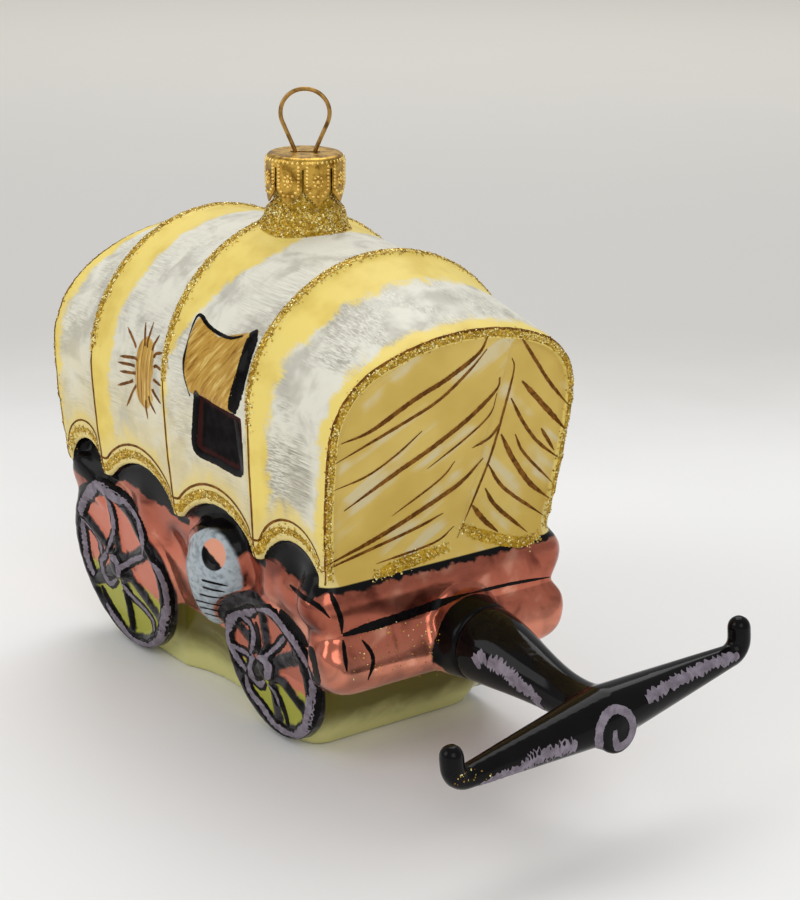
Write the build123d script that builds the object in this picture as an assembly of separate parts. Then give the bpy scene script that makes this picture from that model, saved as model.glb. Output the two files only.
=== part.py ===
from build123d import *
import os
from math import acos, atan2, cos, hypot, pi, radians, sin, sqrt

# A blown-glass ornament in the form of a covered wagon, standing on its base.
# The glass body is one thin hollow shell with a neck at its ridge. A second glass piece, the drawbar,
# is glued to the front of the wagon box. A stamped metal cap turns on the neck, and a bent wire loop
# slides in the cap's slot. X runs forward, Z up, and the origin is the middle of the base's underside.
# All sizes are in millimetres.

# Glass shell
WALL = 1.4
SEAT_GAP = 0.1
# Larger than the ornament in every direction, for cutters that must pass right through it
REACH = 150.0

# Canvas cover
Z_HEM = 35.0
BAY_SAG = 0.7
SCALLOP_RISE = 5.2
SCALLOP_GAP = 0.9
BOW_WIDTH = 1.6
BOW_RISE = 0.45
CURTAIN_INSET = 1.7
CURTAIN_DEPTH = 0.6
FLAP_STEP = 0.7
PARTING_TOP = 10.8
PARTING_HEM = 3.5

# Bows from rear to front. Columns: x at the hem, forward lean in degrees, half width at the hem,
# half width at the springing, height of the crown, height of the springing, shoulder radius
BOWS = [
    (-35.5, -5.0, 26.6, 28.0, 76.4, 55.8, 17.5),
    (-23.0, -3.4, 25.2, 26.6, 81.2, 55.8, 14.0),
    (2.7, -3.1, 25.6, 27.0, 84.5, 57.7, 14.0),
    (27.5, -1.4, 25.5, 26.2, 82.8, 60.6, 19.5),
    (43.6, 8.5, 22.6, 24.6, 75.3, 59.8, 13.0),
]

# Wagon box in two rings of planks, and the fuller planks of its front and rear. Columns: height,
# rear x, front x, half width
BOX_CORNER = 3.5
Z_BOX_FOOT = 14.5
Z_PLANK_LINE = 26.5
LOWER_PLANK = [
    (Z_BOX_FOOT, -32.5, 40.0, 18.8),
    (19.5, -34.5, 46.0, 20.8),
    (Z_PLANK_LINE, -34.8, 44.5, 22.3),
]
UPPER_PLANK = [
    (Z_PLANK_LINE, -34.8, 44.5, 22.3),
    (31.8, -36.0, 44.6, 23.4),
    (42.0, -32.0, 41.5, 22.0),
]
LOWER_FRONT = [
    (Z_BOX_FOOT, 34.0, 41.5, 19.0),
    (19.5, 38.0, 48.5, 24.0),
    (Z_PLANK_LINE, 38.0, 45.6, 23.8),
]
UPPER_FRONT = [
    (Z_PLANK_LINE, 38.0, 45.6, 23.8),
    (31.8, 36.5, 45.8, 24.8),
    (38.0, 35.0, 42.5, 21.5),
]
UPPER_REAR = [
    (Z_PLANK_LINE, -36.6, -25.0, 23.4),
    (31.8, -37.4, -25.0, 25.2),
    (36.0, -34.0, -25.0, 23.0),
]

# Base below the box. Columns as for the box
BASE = [(0.0, -31.0, 31.0, 17.0), (5.0, -32.0, 34.5, 17.6), (Z_BOX_FOOT, -32.5, 40.0, 18.8)]
WAIST_R = 24.0
WAIST_X = 1.5
WAIST_Y = 38.0
WAIST_Z = -2.0

# Wheels, moulded in relief. Columns: x, radius, distance of the rim's face from the middle plane
WHEELS = [(-24.1, 16.4, 23.0), (24.1, 13.5, 21.6)]
WHEEL_TILT = 9.0
WHEEL_CLEAR = 0.3
WHEEL_INNER_Y = 14.0
RIM_WIDTH = 2.3
RIM_ROUND = 0.9
POCKET_DEPTH = 1.1
SPOKES = 6
SPOKE_R = 0.9
FIRST_SPOKE = 30.0
HUB_R = 2.8
HUB_FACE_R = 2.2
HUB_RISE = 0.8

# Water bucket in relief on each side, leaning out at its top: a wide round head and a narrow foot
BUCKET_X = 11.6
BUCKET_Z = 27.0
BUCKET_FACE_Y = 24.8
BUCKET_INNER_Y = 16.0
BUCKET_TILT = 14.0
BUCKET_ROUND = 1.4
BUCKET_HEAD_R = 7.3
BUCKET_HEAD_RISE = 1.6
BUCKET_FOOT_R = 3.0
BUCKET_FOOT_X = 0.5
BUCKET_FOOT_DROP = 6.5
MOUTH_HALF_WIDTH = 4.5
MOUTH_HALF_HEIGHT = 2.9
MOUTH_RISE = 3.4
MOUTH_DEPTH = 1.2

# Side window with its rolled-up flap, and the sewn patch behind it. Columns: x, height
WINDOW = [(10.4, 59.4), (23.8, 58.3), (24.3, 48.6), (9.6, 48.9)]
WINDOW_DEPTH = 1.0
WINDOW_Y = 26.4
FLAP = [(6.9, 71.3), (13.6, 69.2), (22.8, 72.0), (23.2, 66.0), (21.4, 58.6), (9.2, 59.2), (6.4, 64.0)]
FLAP_RISE = 0.9
PATCH_X = -6.2
PATCH_Z = 58.7
PATCH_HALF_WIDTH = 3.3
PATCH_HALF_HEIGHT = 6.3
PATCH_RISE = 0.5

# Neck, cap and wire
NECK_X = 3.8
NECK_R = 5.3
NECK_BORE_R = NECK_R - 1.1
NECK_FLARE_R = NECK_R + 2.1
NECK_SHOULDER_R = NECK_R + 1.4
Z_NECK_FLARE = 82.6
Z_NECK_SHOULDER = 86.4
Z_NECK_STRAIGHT = 87.2
Z_NECK_TOP = 95.3
CAP_WALL = 0.4
CAP_SLACK = 0.9
CAP_R = NECK_R + CAP_SLACK + CAP_WALL
CAP_ROUND = 1.0
Z_CAP_TIPS = 87.7
Z_CAP_TOP = Z_NECK_TOP + SEAT_GAP + CAP_WALL
PETALS = 8
PETAL_TIP = 2.4
PETAL_SLIT = 6.3
PETAL_SLIT_WIDTH = 0.4
WIRE_R = 0.36
LOOP_R = 4.1
LOOP_HEIGHT = 10.3
LEG_X = 1.75
LEG_CLEAR = 0.06
LEG_SPLAY_X = NECK_BORE_R - WIRE_R - LEG_CLEAR
SLOT_LENGTH = 2 * (LEG_X + WIRE_R) + 0.8
SLOT_WIDTH = 2 * WIRE_R + 0.4
Z_LEG_BEND = 89.0
Z_LEG_END = 78.0
LEG_BEND_R = 2.0
LOOP_FOOT_R = 1.0
CROWN_SHARE = 0.985
HANGER_ANGLE = 53.0

# Drawbar glued to a stub on the box. Columns of the pole: x, height of the axis, radius
SEAT_X = 52.6
STUB_X = 46.5
STUB_R = 7.6
DRAWBAR_Y = 2.8
CROSS_X = 81.8
CROSS_Z = 20.9
POLE = [(SEAT_X, 22.2, 6.5), (57.0, 22.1, 6.0), (67.0, 21.2, 4.3), (CROSS_X, CROSS_Z, 4.6)]
# Crossbar. Columns of each arm: distance along the bar, radius
ARM = [(0.0, 4.6), (6.0, 4.0), (26.4, 1.9)]
CROSS_ROLL = 6.6
TIP_OUT = 29.0
TIP_RISE = 4.4
TIP_SHORT = 0.1
DISC_X = 86.2
DISC_R = 3.6
DISC_DROP = 1.6
DISC_ROUND = 0.8


def bow_wire(bow, grow, middle_sag=0.0):
    """Closed outline of one bow, in its own leaning plane, grown by an offset."""
    half_hem, half_side, z_top, z_spring, shoulder_r = bow[2:]
    hem = half_hem + grow - middle_sag
    side = half_side + grow - middle_sag
    spring = z_spring - Z_HEM
    rise = z_top - Z_HEM + grow - middle_sag
    shoulder = shoulder_r + grow
    across = side - shoulder
    height = rise - spring
    crown = (across**2 + height**2 - shoulder**2) / (2 * (height - shoulder))
    angle = atan2(spring - (rise - crown), across)
    bulge_r = ((side - hem) ** 2 + spring**2) / (2 * (side - hem))

    def on_side(up):
        return side - bulge_r + sqrt(bulge_r**2 - (spring - up) ** 2)

    def on_shoulder(turn):
        return across + shoulder * cos(turn), spring + shoulder * sin(turn)

    tangent = on_shoulder(angle)
    half = on_shoulder(angle / 2)
    middle = (on_side(spring / 2), spring / 2)
    edges = [
        Line((-hem, 0), (hem, 0)),
        ThreePointArc((hem, 0), middle, (side, spring)),
        ThreePointArc((side, spring), half, tangent),
        ThreePointArc(tangent, (0, rise), (-tangent[0], tangent[1])),
        ThreePointArc((-tangent[0], tangent[1]), (-half[0], half[1]), (-side, spring)),
        ThreePointArc((-side, spring), (-middle[0], middle[1]), (-hem, 0)),
    ]
    return bow_plane(bow).location * Wire(edges)


def bow_plane(bow):
    """The leaning plane of a bow, local x across the wagon and local y up the bow."""
    turn = radians(bow[1])
    return Plane(origin=(bow[0], 0, Z_HEM), x_dir=(0, 1, 0), z_dir=(cos(turn), 0, -sin(turn)))


def bay(rear, front, grow):
    """The cloth from one bow to the next, grown by an offset, sagging in the middle."""
    middle = tuple((a + b) / 2 for a, b in zip(rear, front))
    outlines = [bow_wire(rear, grow), bow_wire(middle, grow, BAY_SAG), bow_wire(front, grow)]
    return Part() + Solid.make_loft(outlines)


def cover(grow, bows=BOWS):
    """The canvas cover over all bows, grown by an offset."""
    return Part() + [bay(rear, front, grow) for rear, front in zip(bows, bows[1:])]


def hoop(bow):
    """A bow standing proud of the cloth."""
    along = bow_plane(bow).z_dir * BOW_WIDTH
    return Pos(*(along * -0.5)) * (Part() + Solid.extrude(Face(bow_wire(bow, BOW_RISE)), along))


def scallops():
    """Cutters that raise the hem between the bows."""
    cutters = Part()
    for rear, front in zip(BOWS, BOWS[1:]):
        start = rear[0] + SCALLOP_GAP
        end = front[0] - SCALLOP_GAP
        below = Z_HEM - SCALLOP_RISE
        outline = [
            Line((start, below), (start, Z_HEM)),
            ThreePointArc((start, Z_HEM), ((start + end) / 2, Z_HEM + SCALLOP_RISE), (end, Z_HEM)),
            Polyline((end, Z_HEM), (end, below), (start, below)),
        ]
        cutters += extrude(Plane.XZ * make_face(outline), amount=REACH, both=True)
    return cutters


def plank(rows, inset=0.0):
    """A bulging ring of planks lofted through rounded rectangles."""
    outlines = []
    for z, rear, front, half in rows:
        shape = RectangleRounded(front - rear - 2 * inset, 2 * (half - inset), BOX_CORNER - inset)
        outlines.append(Pos((rear + front) / 2, 0, z) * shape)
    return loft(outlines)


def wheel(radius, depth):
    """A spoked wheel, its face at z = 0 looking up, with rim, hub and round spokes in relief."""
    disc = Pos(0, 0, -depth / 2) * Cylinder(radius, depth)
    disc = fillet(disc.edges().group_by(Axis.Z)[-1], RIM_ROUND)
    pocket = Cylinder(radius - RIM_WIDTH, POCKET_DEPTH) - Cylinder(HUB_R, POCKET_DEPTH)
    disc -= Pos(0, 0, -POCKET_DEPTH / 2) * pocket
    reach = radius - RIM_WIDTH / 2
    for k in range(SPOKES):
        spoke = Pos(reach / 2, 0, -POCKET_DEPTH) * Rot(0, 90, 0) * Cylinder(SPOKE_R, reach)
        disc += Rot(0, 0, FIRST_SPOKE + 360 / SPOKES * k) * spoke
    hub = Cone(HUB_R, HUB_FACE_R, HUB_RISE + POCKET_DEPTH)
    return disc + Pos(0, 0, (HUB_RISE - POCKET_DEPTH) / 2) * hub


def bucket():
    """A round-bellied bucket, its face at z = 0 looking up, with a mouth in the upper half."""
    head = Pos(0, BUCKET_HEAD_RISE) * Circle(BUCKET_HEAD_R)
    foot = Pos(BUCKET_FOOT_X, -BUCKET_FOOT_DROP) * Circle(BUCKET_FOOT_R)
    outline = make_hull(head.edges() + foot.edges())
    belly = extrude(outline, amount=BUCKET_INNER_Y - BUCKET_FACE_Y)
    belly = fillet(belly.edges().group_by(Axis.Z)[-1], BUCKET_ROUND)
    mouth = Pos(0, MOUTH_RISE) * Ellipse(MOUTH_HALF_WIDTH, MOUTH_HALF_HEIGHT)
    return belly - extrude(mouth, amount=-MOUTH_DEPTH)


def both_sides(solid):
    """The solid and its mirror image on the other side of the wagon."""
    return Part() + [solid, mirror(solid, about=Plane.XZ)]


def side_face(x, y, z):
    """Location on the right side of the wagon, local z pointing outwards and local y up."""
    return Plane(origin=(x, -y, z), x_dir=(1, 0, 0), z_dir=(0, -1, 0)).location


def side_prism(points, start_y=0.0):
    """A prism through the right side of the cover, from an outline of (x, height) points."""
    outline = make_face(Polyline(*points, close=True))
    return Pos(0, -start_y, 0) * extrude(Plane.XZ * outline, amount=REACH)


def neck():
    """The glass neck, flared where it grows out of the ridge."""
    foot = Z_NECK_FLARE - NECK_FLARE_R
    corners = [
        (0, foot),
        (NECK_FLARE_R, foot),
        (NECK_FLARE_R, Z_NECK_FLARE),
        (NECK_SHOULDER_R, Z_NECK_SHOULDER),
        (NECK_R, Z_NECK_STRAIGHT),
        (NECK_R, Z_NECK_TOP),
        (0, Z_NECK_TOP),
    ]
    outline = make_face(Polyline(*corners, close=True))
    return Pos(NECK_X, 0, 0) * revolve(Plane.XZ * outline, Axis.Z)


def curtain_cut(bow, facing):
    """Recess of the parted curtain in an end bow: two flaps, the left one of the wagon set back."""
    plane = bow_plane(bow)
    outline = bow_wire(bow, -CURTAIN_INSET)
    inward = plane.z_dir * -facing
    parting = [(PARTING_TOP, REACH), (PARTING_TOP, bow[4] - Z_HEM), (PARTING_HEM, 0)]
    parting += [(REACH, 0), (REACH, REACH)]
    left = plane.location * make_face(Polyline(*parting, close=True))
    recess = Solid.extrude(Face(outline), inward * CURTAIN_DEPTH)
    deeper = Solid.extrude(Face(outline), inward * (CURTAIN_DEPTH + FLAP_STEP))
    deeper = Part() + deeper & extrude(left, amount=REACH, both=True)
    return Part() + [recess] + deeper


def waist(grow):
    """Ball that hollows the right side of the base between the wheels."""
    return Pos(WAIST_X, -WAIST_Y, WAIST_Z) * Sphere(WAIST_R + grow)


def glass_body():
    """The blown shell: cover, box, base, wheels and neck, still solid inside."""
    rear_bow, patch_bow, neck_bow, window_bow, front_bow = BOWS
    cloth = cover(0)
    for bow in BOWS[1:-1]:
        cloth += hoop(bow)
    cloth += both_sides(bay(neck_bow, window_bow, FLAP_RISE) & side_prism(FLAP))
    patch = SlotOverall(2 * PATCH_HALF_HEIGHT, 2 * PATCH_HALF_WIDTH, rotation=90)
    patch = Plane.XZ * Pos(PATCH_X, PATCH_Z) * patch
    cloth += both_sides(bay(patch_bow, neck_bow, PATCH_RISE) & extrude(patch, amount=REACH))
    cloth -= both_sides(side_prism(WINDOW, WINDOW_Y - WINDOW_DEPTH))
    cloth -= curtain_cut(rear_bow, -1) + curtain_cut(front_bow, 1)
    cloth -= scallops()

    box = plank(LOWER_PLANK) + plank(UPPER_PLANK)
    box += plank(LOWER_FRONT) + plank(UPPER_FRONT) + plank(UPPER_REAR)
    base = plank(BASE) - both_sides(waist(0))
    body = cloth + box + base + neck()
    for x, radius, face_y in WHEELS:
        z = WHEEL_CLEAR + radius * cos(radians(WHEEL_TILT))
        relief = Rot(WHEEL_TILT, 0, 0) * wheel(radius, face_y - WHEEL_INNER_Y)
        body += both_sides(side_face(x, face_y, z) * relief)
    pail = side_face(BUCKET_X, BUCKET_FACE_Y, BUCKET_Z) * Rot(BUCKET_TILT, 0, 0) * bucket()
    return body + both_sides(pail)


def cavity():
    """The space inside the glass."""
    end_wall = WALL + CURTAIN_DEPTH + FLAP_STEP
    bows = [list(bow) for bow in BOWS]
    bows[0][0] += end_wall
    bows[-1][0] -= end_wall
    z_joint = Z_HEM + SCALLOP_RISE + WALL
    above_hem = Pos(0, 0, z_joint + REACH / 2) * Box(REACH, REACH, REACH)
    under_cloth = cover(-WALL, bows) & above_hem
    under_cloth -= both_sides(side_prism(WINDOW, WINDOW_Y - WINDOW_DEPTH - WALL))
    upper = UPPER_PLANK[:-1] + [(z_joint + WALL, *UPPER_PLANK[-1][1:])]
    floor = [(BASE[0][0] + WALL, *BASE[0][1:])] + BASE[1:]
    base = plank(floor, WALL) - both_sides(waist(WALL))
    bore_foot = BOWS[len(BOWS) // 2][5]
    bore_length = Z_NECK_TOP - bore_foot
    bore = Pos(NECK_X, 0, bore_foot + bore_length / 2) * Cylinder(NECK_BORE_R, bore_length)
    return under_cloth + plank(LOWER_PLANK, WALL) + plank(upper, WALL) + base + bore


def along_x(x, z):
    """Location in the drawbar's upright plane, local z pointing forward."""
    return Plane(origin=(x, DRAWBAR_Y, z), x_dir=(0, 1, 0), z_dir=(1, 0, 0)).location


def drawbar_stub():
    """Short solid cone on the front of the box that the drawbar is glued to."""
    z, radius = POLE[0][1:]
    length = SEAT_X - STUB_X
    return along_x((STUB_X + SEAT_X) / 2, z) * Cone(STUB_R, radius, length)


def glass_drawbar():
    """The pole with its crossbar: tapering arms with upturned tips, and a round disc in front."""
    pole = loft([along_x(x, z) * Circle(radius) for x, z, radius in POLE])
    disc_length = DISC_X - CROSS_X
    disc = along_x((CROSS_X + DISC_X) / 2, CROSS_Z - DISC_DROP) * Cylinder(DISC_R, disc_length)
    disc = fillet(disc.edges().sort_by(Axis.X)[-1], DISC_ROUND)
    outwards = Plane(origin=(0, 0, 0), x_dir=(1, 0, 0), z_dir=(0, -1, 0)).location
    arm = loft([outwards * Pos(0, 0, out) * Circle(radius) for out, radius in ARM])
    end, end_r = ARM[-1]
    corners = [(0, -end, 0), (0, -TIP_OUT, 0), (0, -TIP_OUT, TIP_RISE)]
    path = FilletPolyline(*corners, radius=TIP_OUT - end - TIP_SHORT)
    tip = sweep(outwards * Pos(0, 0, end) * Circle(end_r), path=path)
    tip += Pos(0, -TIP_OUT, TIP_RISE) * Sphere(end_r)
    crossbar = Rot(CROSS_ROLL, 0, 0) * both_sides(arm + tip)
    return pole + disc + Pos(CROSS_X, DRAWBAR_Y, CROSS_Z) * crossbar


def hanger_cap():
    """Stamped cap: a rounded disc with a slot, and a skirt slit into pointed petals."""
    height = Z_CAP_TOP - Z_CAP_TIPS
    cap = Pos(0, 0, Z_CAP_TIPS + height / 2) * Cylinder(CAP_R, height)
    cap = fillet(cap.edges().group_by(Axis.Z)[-1], CAP_ROUND)
    inner = height - CAP_WALL
    hollow = Pos(0, 0, Z_CAP_TIPS + inner / 2) * Cylinder(CAP_R - CAP_WALL, inner)
    cap -= fillet(hollow.edges().group_by(Axis.Z)[-1], CAP_ROUND - CAP_WALL)
    half_pitch = CAP_R * sin(pi / PETALS)
    half_slit = PETAL_SLIT_WIDTH / 2
    outline = [(-half_pitch, 0), (-half_slit, PETAL_TIP), (-half_slit, PETAL_SLIT)]
    outline += [(-u, v) for u, v in reversed(outline)]
    for k in range(PETALS):
        notch = extrude(Plane.XZ * make_face(Polyline(*outline, close=True)), amount=2 * CAP_R)
        cap -= Rot(0, 0, 360 / PETALS * k) * Pos(0, 0, Z_CAP_TIPS) * notch
    cap -= Pos(0, 0, Z_CAP_TOP) * Box(SLOT_LENGTH, SLOT_WIDTH, 4 * CAP_WALL)
    return on_neck(cap)


def on_neck(solid):
    """Places what was built about the z axis on the neck, turned as the hanger stands."""
    return Pos(NECK_X, 0, 0) * Rot(0, 0, HANGER_ANGLE) * solid


def hanger_wire():
    """Wire loop, its legs straight through the cap's slot and then splayed in the neck."""
    z_foot = Z_CAP_TOP + LOOP_FOOT_R * WIRE_R
    z_centre = z_foot + LOOP_HEIGHT - LOOP_R
    reach = hypot(LEG_X, z_centre - z_foot)
    turn = atan2(z_foot - z_centre, LEG_X) + acos(LOOP_R / reach)
    x_tangent = LOOP_R * cos(turn)
    z_tangent = z_centre + LOOP_R * sin(turn)
    slope = (x_tangent - LEG_X) / (z_tangent - z_foot)
    z_crown = z_centre + LOOP_R
    corner = (LEG_X + slope * (z_crown - z_foot), z_crown)
    half = [(LEG_SPLAY_X, Z_LEG_END), (LEG_X, Z_LEG_BEND), (LEG_X, z_foot), corner]
    points = [(x, 0, z) for x, z in half] + [(-x, 0, z) for x, z in reversed(half)]
    radii = [LEG_BEND_R, LOOP_FOOT_R, LOOP_R * CROWN_SHARE]
    path = FilletPolyline(*points, radius=radii + radii[::-1])
    start = Plane(origin=path @ 0, z_dir=path % 0)
    return on_neck(sweep(start * Circle(WIRE_R), path=path))


def main():
    nodes = {
        "glass_body": glass_body() + drawbar_stub() - cavity(),
        "glass_drawbar": glass_drawbar(),
        "hanger_cap": hanger_cap(),
        "hanger_wire": hanger_wire(),
    }
    os.makedirs("parts", exist_ok=True)
    for name, solid in nodes.items():
        export_step(solid, os.path.join("parts", name + ".step"))
        print(name, len(solid.solids()), solid.is_valid, round(solid.volume), solid.bounding_box())


if __name__ == "__main__":
    main()
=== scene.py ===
import math
import random

import bmesh
import bpy
import numpy as np
from mathutils import Matrix, Vector
from mathutils.bvhtree import BVHTree


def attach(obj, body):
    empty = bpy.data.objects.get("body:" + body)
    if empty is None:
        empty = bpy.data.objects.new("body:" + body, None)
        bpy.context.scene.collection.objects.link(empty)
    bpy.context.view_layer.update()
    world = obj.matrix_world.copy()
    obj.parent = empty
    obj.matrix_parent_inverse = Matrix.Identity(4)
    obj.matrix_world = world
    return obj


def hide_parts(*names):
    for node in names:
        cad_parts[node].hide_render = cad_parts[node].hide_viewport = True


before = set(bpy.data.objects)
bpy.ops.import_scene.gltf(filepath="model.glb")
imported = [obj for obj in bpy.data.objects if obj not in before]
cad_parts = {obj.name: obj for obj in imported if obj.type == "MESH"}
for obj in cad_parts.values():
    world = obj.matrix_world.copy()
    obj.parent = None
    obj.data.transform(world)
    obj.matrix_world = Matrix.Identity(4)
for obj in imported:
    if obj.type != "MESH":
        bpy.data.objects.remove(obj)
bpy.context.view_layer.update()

# The looks of a hand-painted blown-glass covered wagon. Forms come from the CAD solids, softened as glass
# from a mould is; paint is laid on as attributes read by one shader, as thin strokes that lie on the glass,
# and as grains of glitter. Lengths are in millimetres until a mesh is made, and MM turns them to metres.
# Distances that lay out paint are FAR_OFF where something can't be.
MM = 0.001
FAR_OFF = 9.0
DICE = random.Random(4)

# Camera of the photograph
IMAGE_WIDTH = 800
IMAGE_HEIGHT = 900
FOCAL_PX = 2227.7
SENSOR_MM = 36.0
CAMERA_AZIMUTH = math.radians(53.73)
CAMERA_ELEVATION = math.radians(18.53)
CAMERA_ROLL = math.radians(0.71)
CAMERA_TARGET = Vector((10.25, 15.96, 41.36))
CAMERA_DISTANCE = 398.3

# Cover. Columns of a bow: x at the hem, lean in degrees, half width at the hem, half width at the
# springing, height of the crown, height of the springing, shoulder radius
Z_HEM = 35.0
BOWS = [
    (-35.5, -5.0, 26.6, 28.0, 76.4, 55.8, 17.5),
    (-23.0, -3.4, 25.2, 26.6, 81.2, 55.8, 14.0),
    (2.7, -3.1, 25.6, 27.0, 84.5, 57.7, 14.0),
    (27.5, -1.4, 25.5, 26.2, 82.8, 60.6, 19.5),
    (43.6, 8.5, 22.6, 24.6, 75.3, 59.8, 13.0),
]
SCALLOP_RISE = 5.2
SCALLOP_GAP = 0.9

# Curtains in both ends: gap to the rim, how far behind the rim paint still counts as the curtain's and
# where it surely is, reach of the search, the parting's place at the crown and at the hem, and the shares
# across and up of the line that each flap's folds are counted along
CURTAIN_INSET = 1.7
CURTAIN_DEPTH = 2.4
CURTAIN_SHOWN = 0.9
CURTAIN_REACH = 9.0
PARTING_TOP = 10.8
PARTING_HEM = 3.5
FOLD_LEFT = (0.66, 0.75)
FOLD_RIGHT = (-0.5, 0.87)

# Painted on the cover's sides, at least this far from the middle plane. Columns: x, height
SIDE_FROM = 17.0
WINDOW = [(10.4, 59.4), (23.8, 58.3), (24.3, 48.6), (9.6, 48.9)]
FLAP = [(6.9, 71.3), (13.6, 69.2), (22.8, 72.0), (23.2, 66.0), (21.4, 58.6), (9.2, 59.2), (6.4, 64.0)]
PATCH_X = -6.2
PATCH_Z = 58.7
PATCH_HALF_WIDTH = 3.3
PATCH_HALF_HEIGHT = 6.3

# Underside of the hem, painted as the box is just below the hem, so black, as painted shade in the gap
# under the cover: gaps to the end bows, height it reaches above the hem, distance in from the cover's face,
# width over which paint changes and how steeply, and how far below the hem the cover's piece ends
SOFFIT_REAR = 1.2
SOFFIT_FRONT = 3.0
SOFFIT_HEIGHT = 1.5
SOFFIT_INSET = 0.7
SOFFIT_BLEND = 0.5
SOFFIT_DROP = 4.0
HEM_SPLIT = 0.4

# Lower body. Columns of a wheel: x, radius, distance of the face from the middle plane
WHEELS = [(-24.1, 16.4, 23.0), (24.1, 13.5, 21.6)]
WHEEL_TILT = math.radians(9.0)
WHEEL_CLEAR = 0.3
WHEEL_EDGE = 0.4
WHEEL_THICKNESS = 2.9
SPOKES = 6
FIRST_SPOKE = math.radians(30.0)

# Bucket: place and tilt of the solid's one; the rounder pail worked out of it, with its shift, half widths,
# rise, drop and lean, how deep its edge is sunk, how far its middle bulges from there, how far back it
# reaches and the share of it that is painted; and its mouth, with the directions in which it sinks and
# its shade falls
BUCKET_X = 11.6
BUCKET_Z = 27.0
BUCKET_FACE_Y = 24.8
BUCKET_TILT = math.radians(14.0)
BUCKET_ALONG = 0.6
BUCKET_UP = 0.3
BUCKET_HALF = 8.5
BUCKET_FOOT_HALF = 4.4
BUCKET_RISE = 9.6
BUCKET_DROP = 12.6
BUCKET_LEAN = 0.38
BUCKET_SUNK = 2.4
BUCKET_BULGE = 5.5
BUCKET_BEHIND = 7.0
BUCKET_EDGE = 0.97
MOUTH_PIXEL = (211, 555)
MOUTH_R = 2.8
MOUTH_DEPTH = 1.0
MOUTH_LIP = 0.7
MOUTH_INWARD = (0.6, 0.8)
MOUTH_SHADE = (0.37, -0.5, 0.78)

# Foot of the copper paint, and the black stub that the drawbar is glued to
Z_BOX_FOOT = 14.5
DRAWBAR_Y = 2.8
STUB_Z = 22.2
STUB_START_X = 48.4
STUB_R = 8.2

# Yellow left bare beside each bow, rear to front. Columns: width at the hem and at the crown, as a share
# of the bay, height where it starts to widen, width left bare along the next bow in millimetres
BARE_BANDS = [
    (0.08, 0.22, 48.0, 0.3),
    (0.17, 0.32, 52.0, 0.3),
    (0.00, 0.40, 62.0, 0.3),
    (0.17, 0.33, 52.0, 2.0),
]
BARE_TOP = 82.0
BARE_CURVE = 1.2
# Bays in which paint differs, counted from the rear bow
REAR_BAY_END = 1.15
REAR_BAY_BLEND = 0.15
FRONT_BAY_START = 2.6

# Bulges and hollows of the box, worked in after the CAD. Columns: pixel of the photograph that shows the
# middle, reach, and shift forward, outwards and up in millimetres
BULGES = [
    ((83, 474), 4.0, -0.8, 0.9, 2.6),
    ((145, 508), 3.2, 0.0, 0.9, 0.0),
    ((154, 532), 3.4, 0.0, 1.1, 0.0),
    ((176, 545), 3.0, 0.0, -0.8, 0.0),
    ((254, 575), 2.6, 0.0, -0.8, 0.0),
    ((270, 591), 3.4, 0.0, 1.0, 0.0),
    ((290, 595), 3.6, 0.0, 1.2, 0.0),
    ((309, 608), 3.4, 0.0, 1.4, 0.0),
    ((296, 575), 3.0, 0.0, -0.8, 0.0),
    ((318, 640), 2.4, 0.0, -0.8, 0.0),
    ((332, 655), 3.0, 0.0, 0.9, 0.0),
]

# Glass that closes the thin corner between the rear curtain's recess and the last scallop, on both sides
CORNER_FILL = (-33.4, 23.6, 37.1)
CORNER_FILL_R = 1.1

# Neck and cap
NECK_X = 3.8
NECK_R = 5.3
NECK_SKIRT_R = 8.0
Z_NECK_SKIRT = 82.4
Z_NECK_TOP = 95.3
CAP_R = 6.6
PETALS = 8
HANGER_ANGLE = math.radians(53.0)

# Stamped beads: rows down both edges of a petal, a rosette with its middle and a bead at the tip of each
# petal, and a ring round the crown
ROW_TOP = 94.4
ROW_STEP = 0.62
ROWS = 9
ROW_SHARE = 0.36
ROWS_STRAIGHT = 7
ROW_NARROWING = 0.1
ROW_BEAD_R = 0.31
ROSETTE_Z = 91.9
ROSETTE_BEADS = 8
ROSETTE_ACROSS = 0.75
ROSETTE_UP = 0.9
ROSETTE_BEAD_R = 0.27
ROSETTE_MIDDLE_R = 0.42
TIP_BEAD_Z = 89.4
TIP_BEAD_R = 0.3
CROWN_Z = 95.0
CROWN_BEADS = 48
CROWN_INSET = 0.12
CROWN_BEAD_R = 0.28

# Size of the grid that rounds a mesh, and rounds of smoothing
BODY_VOXEL = 0.5
BODY_ROUNDS = 4
WORKED_ROUNDS = 2
DRAWBAR_VOXEL = 0.4
DRAWBAR_ROUNDS = 6


# Colour helpers


def srgb(red, green, blue):
    """Linear colour of an 8-bit screen colour."""
    values = []
    for level in (red, green, blue):
        v = level / 255
        values.append(v / 12.92 if v <= 0.04045 else ((v + 0.055) / 1.055) ** 2.4)
    return (*values, 1.0)


BUTTER = srgb(243, 219, 122)
BUTTER_DEEP = srgb(228, 200, 102)
CREAM = srgb(226, 209, 152)
MUSTARD = srgb(226, 196, 106)
MUSTARD_DEEP = srgb(206, 172, 80)
WASH = srgb(222, 210, 172)
WHITE = srgb(233, 230, 214)
SILVER = srgb(156, 152, 138)
COPPER = srgb(202, 116, 92)
# Deep and pale copper vary at random, and also serve as painted shade and painted highlight on the box's
# planks
COPPER_DEEP_AND_SHADE = srgb(112, 56, 44)
COPPER_PALE_AND_HIGHLIGHT = srgb(246, 172, 144)
OLIVE = srgb(206, 202, 134)
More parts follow.
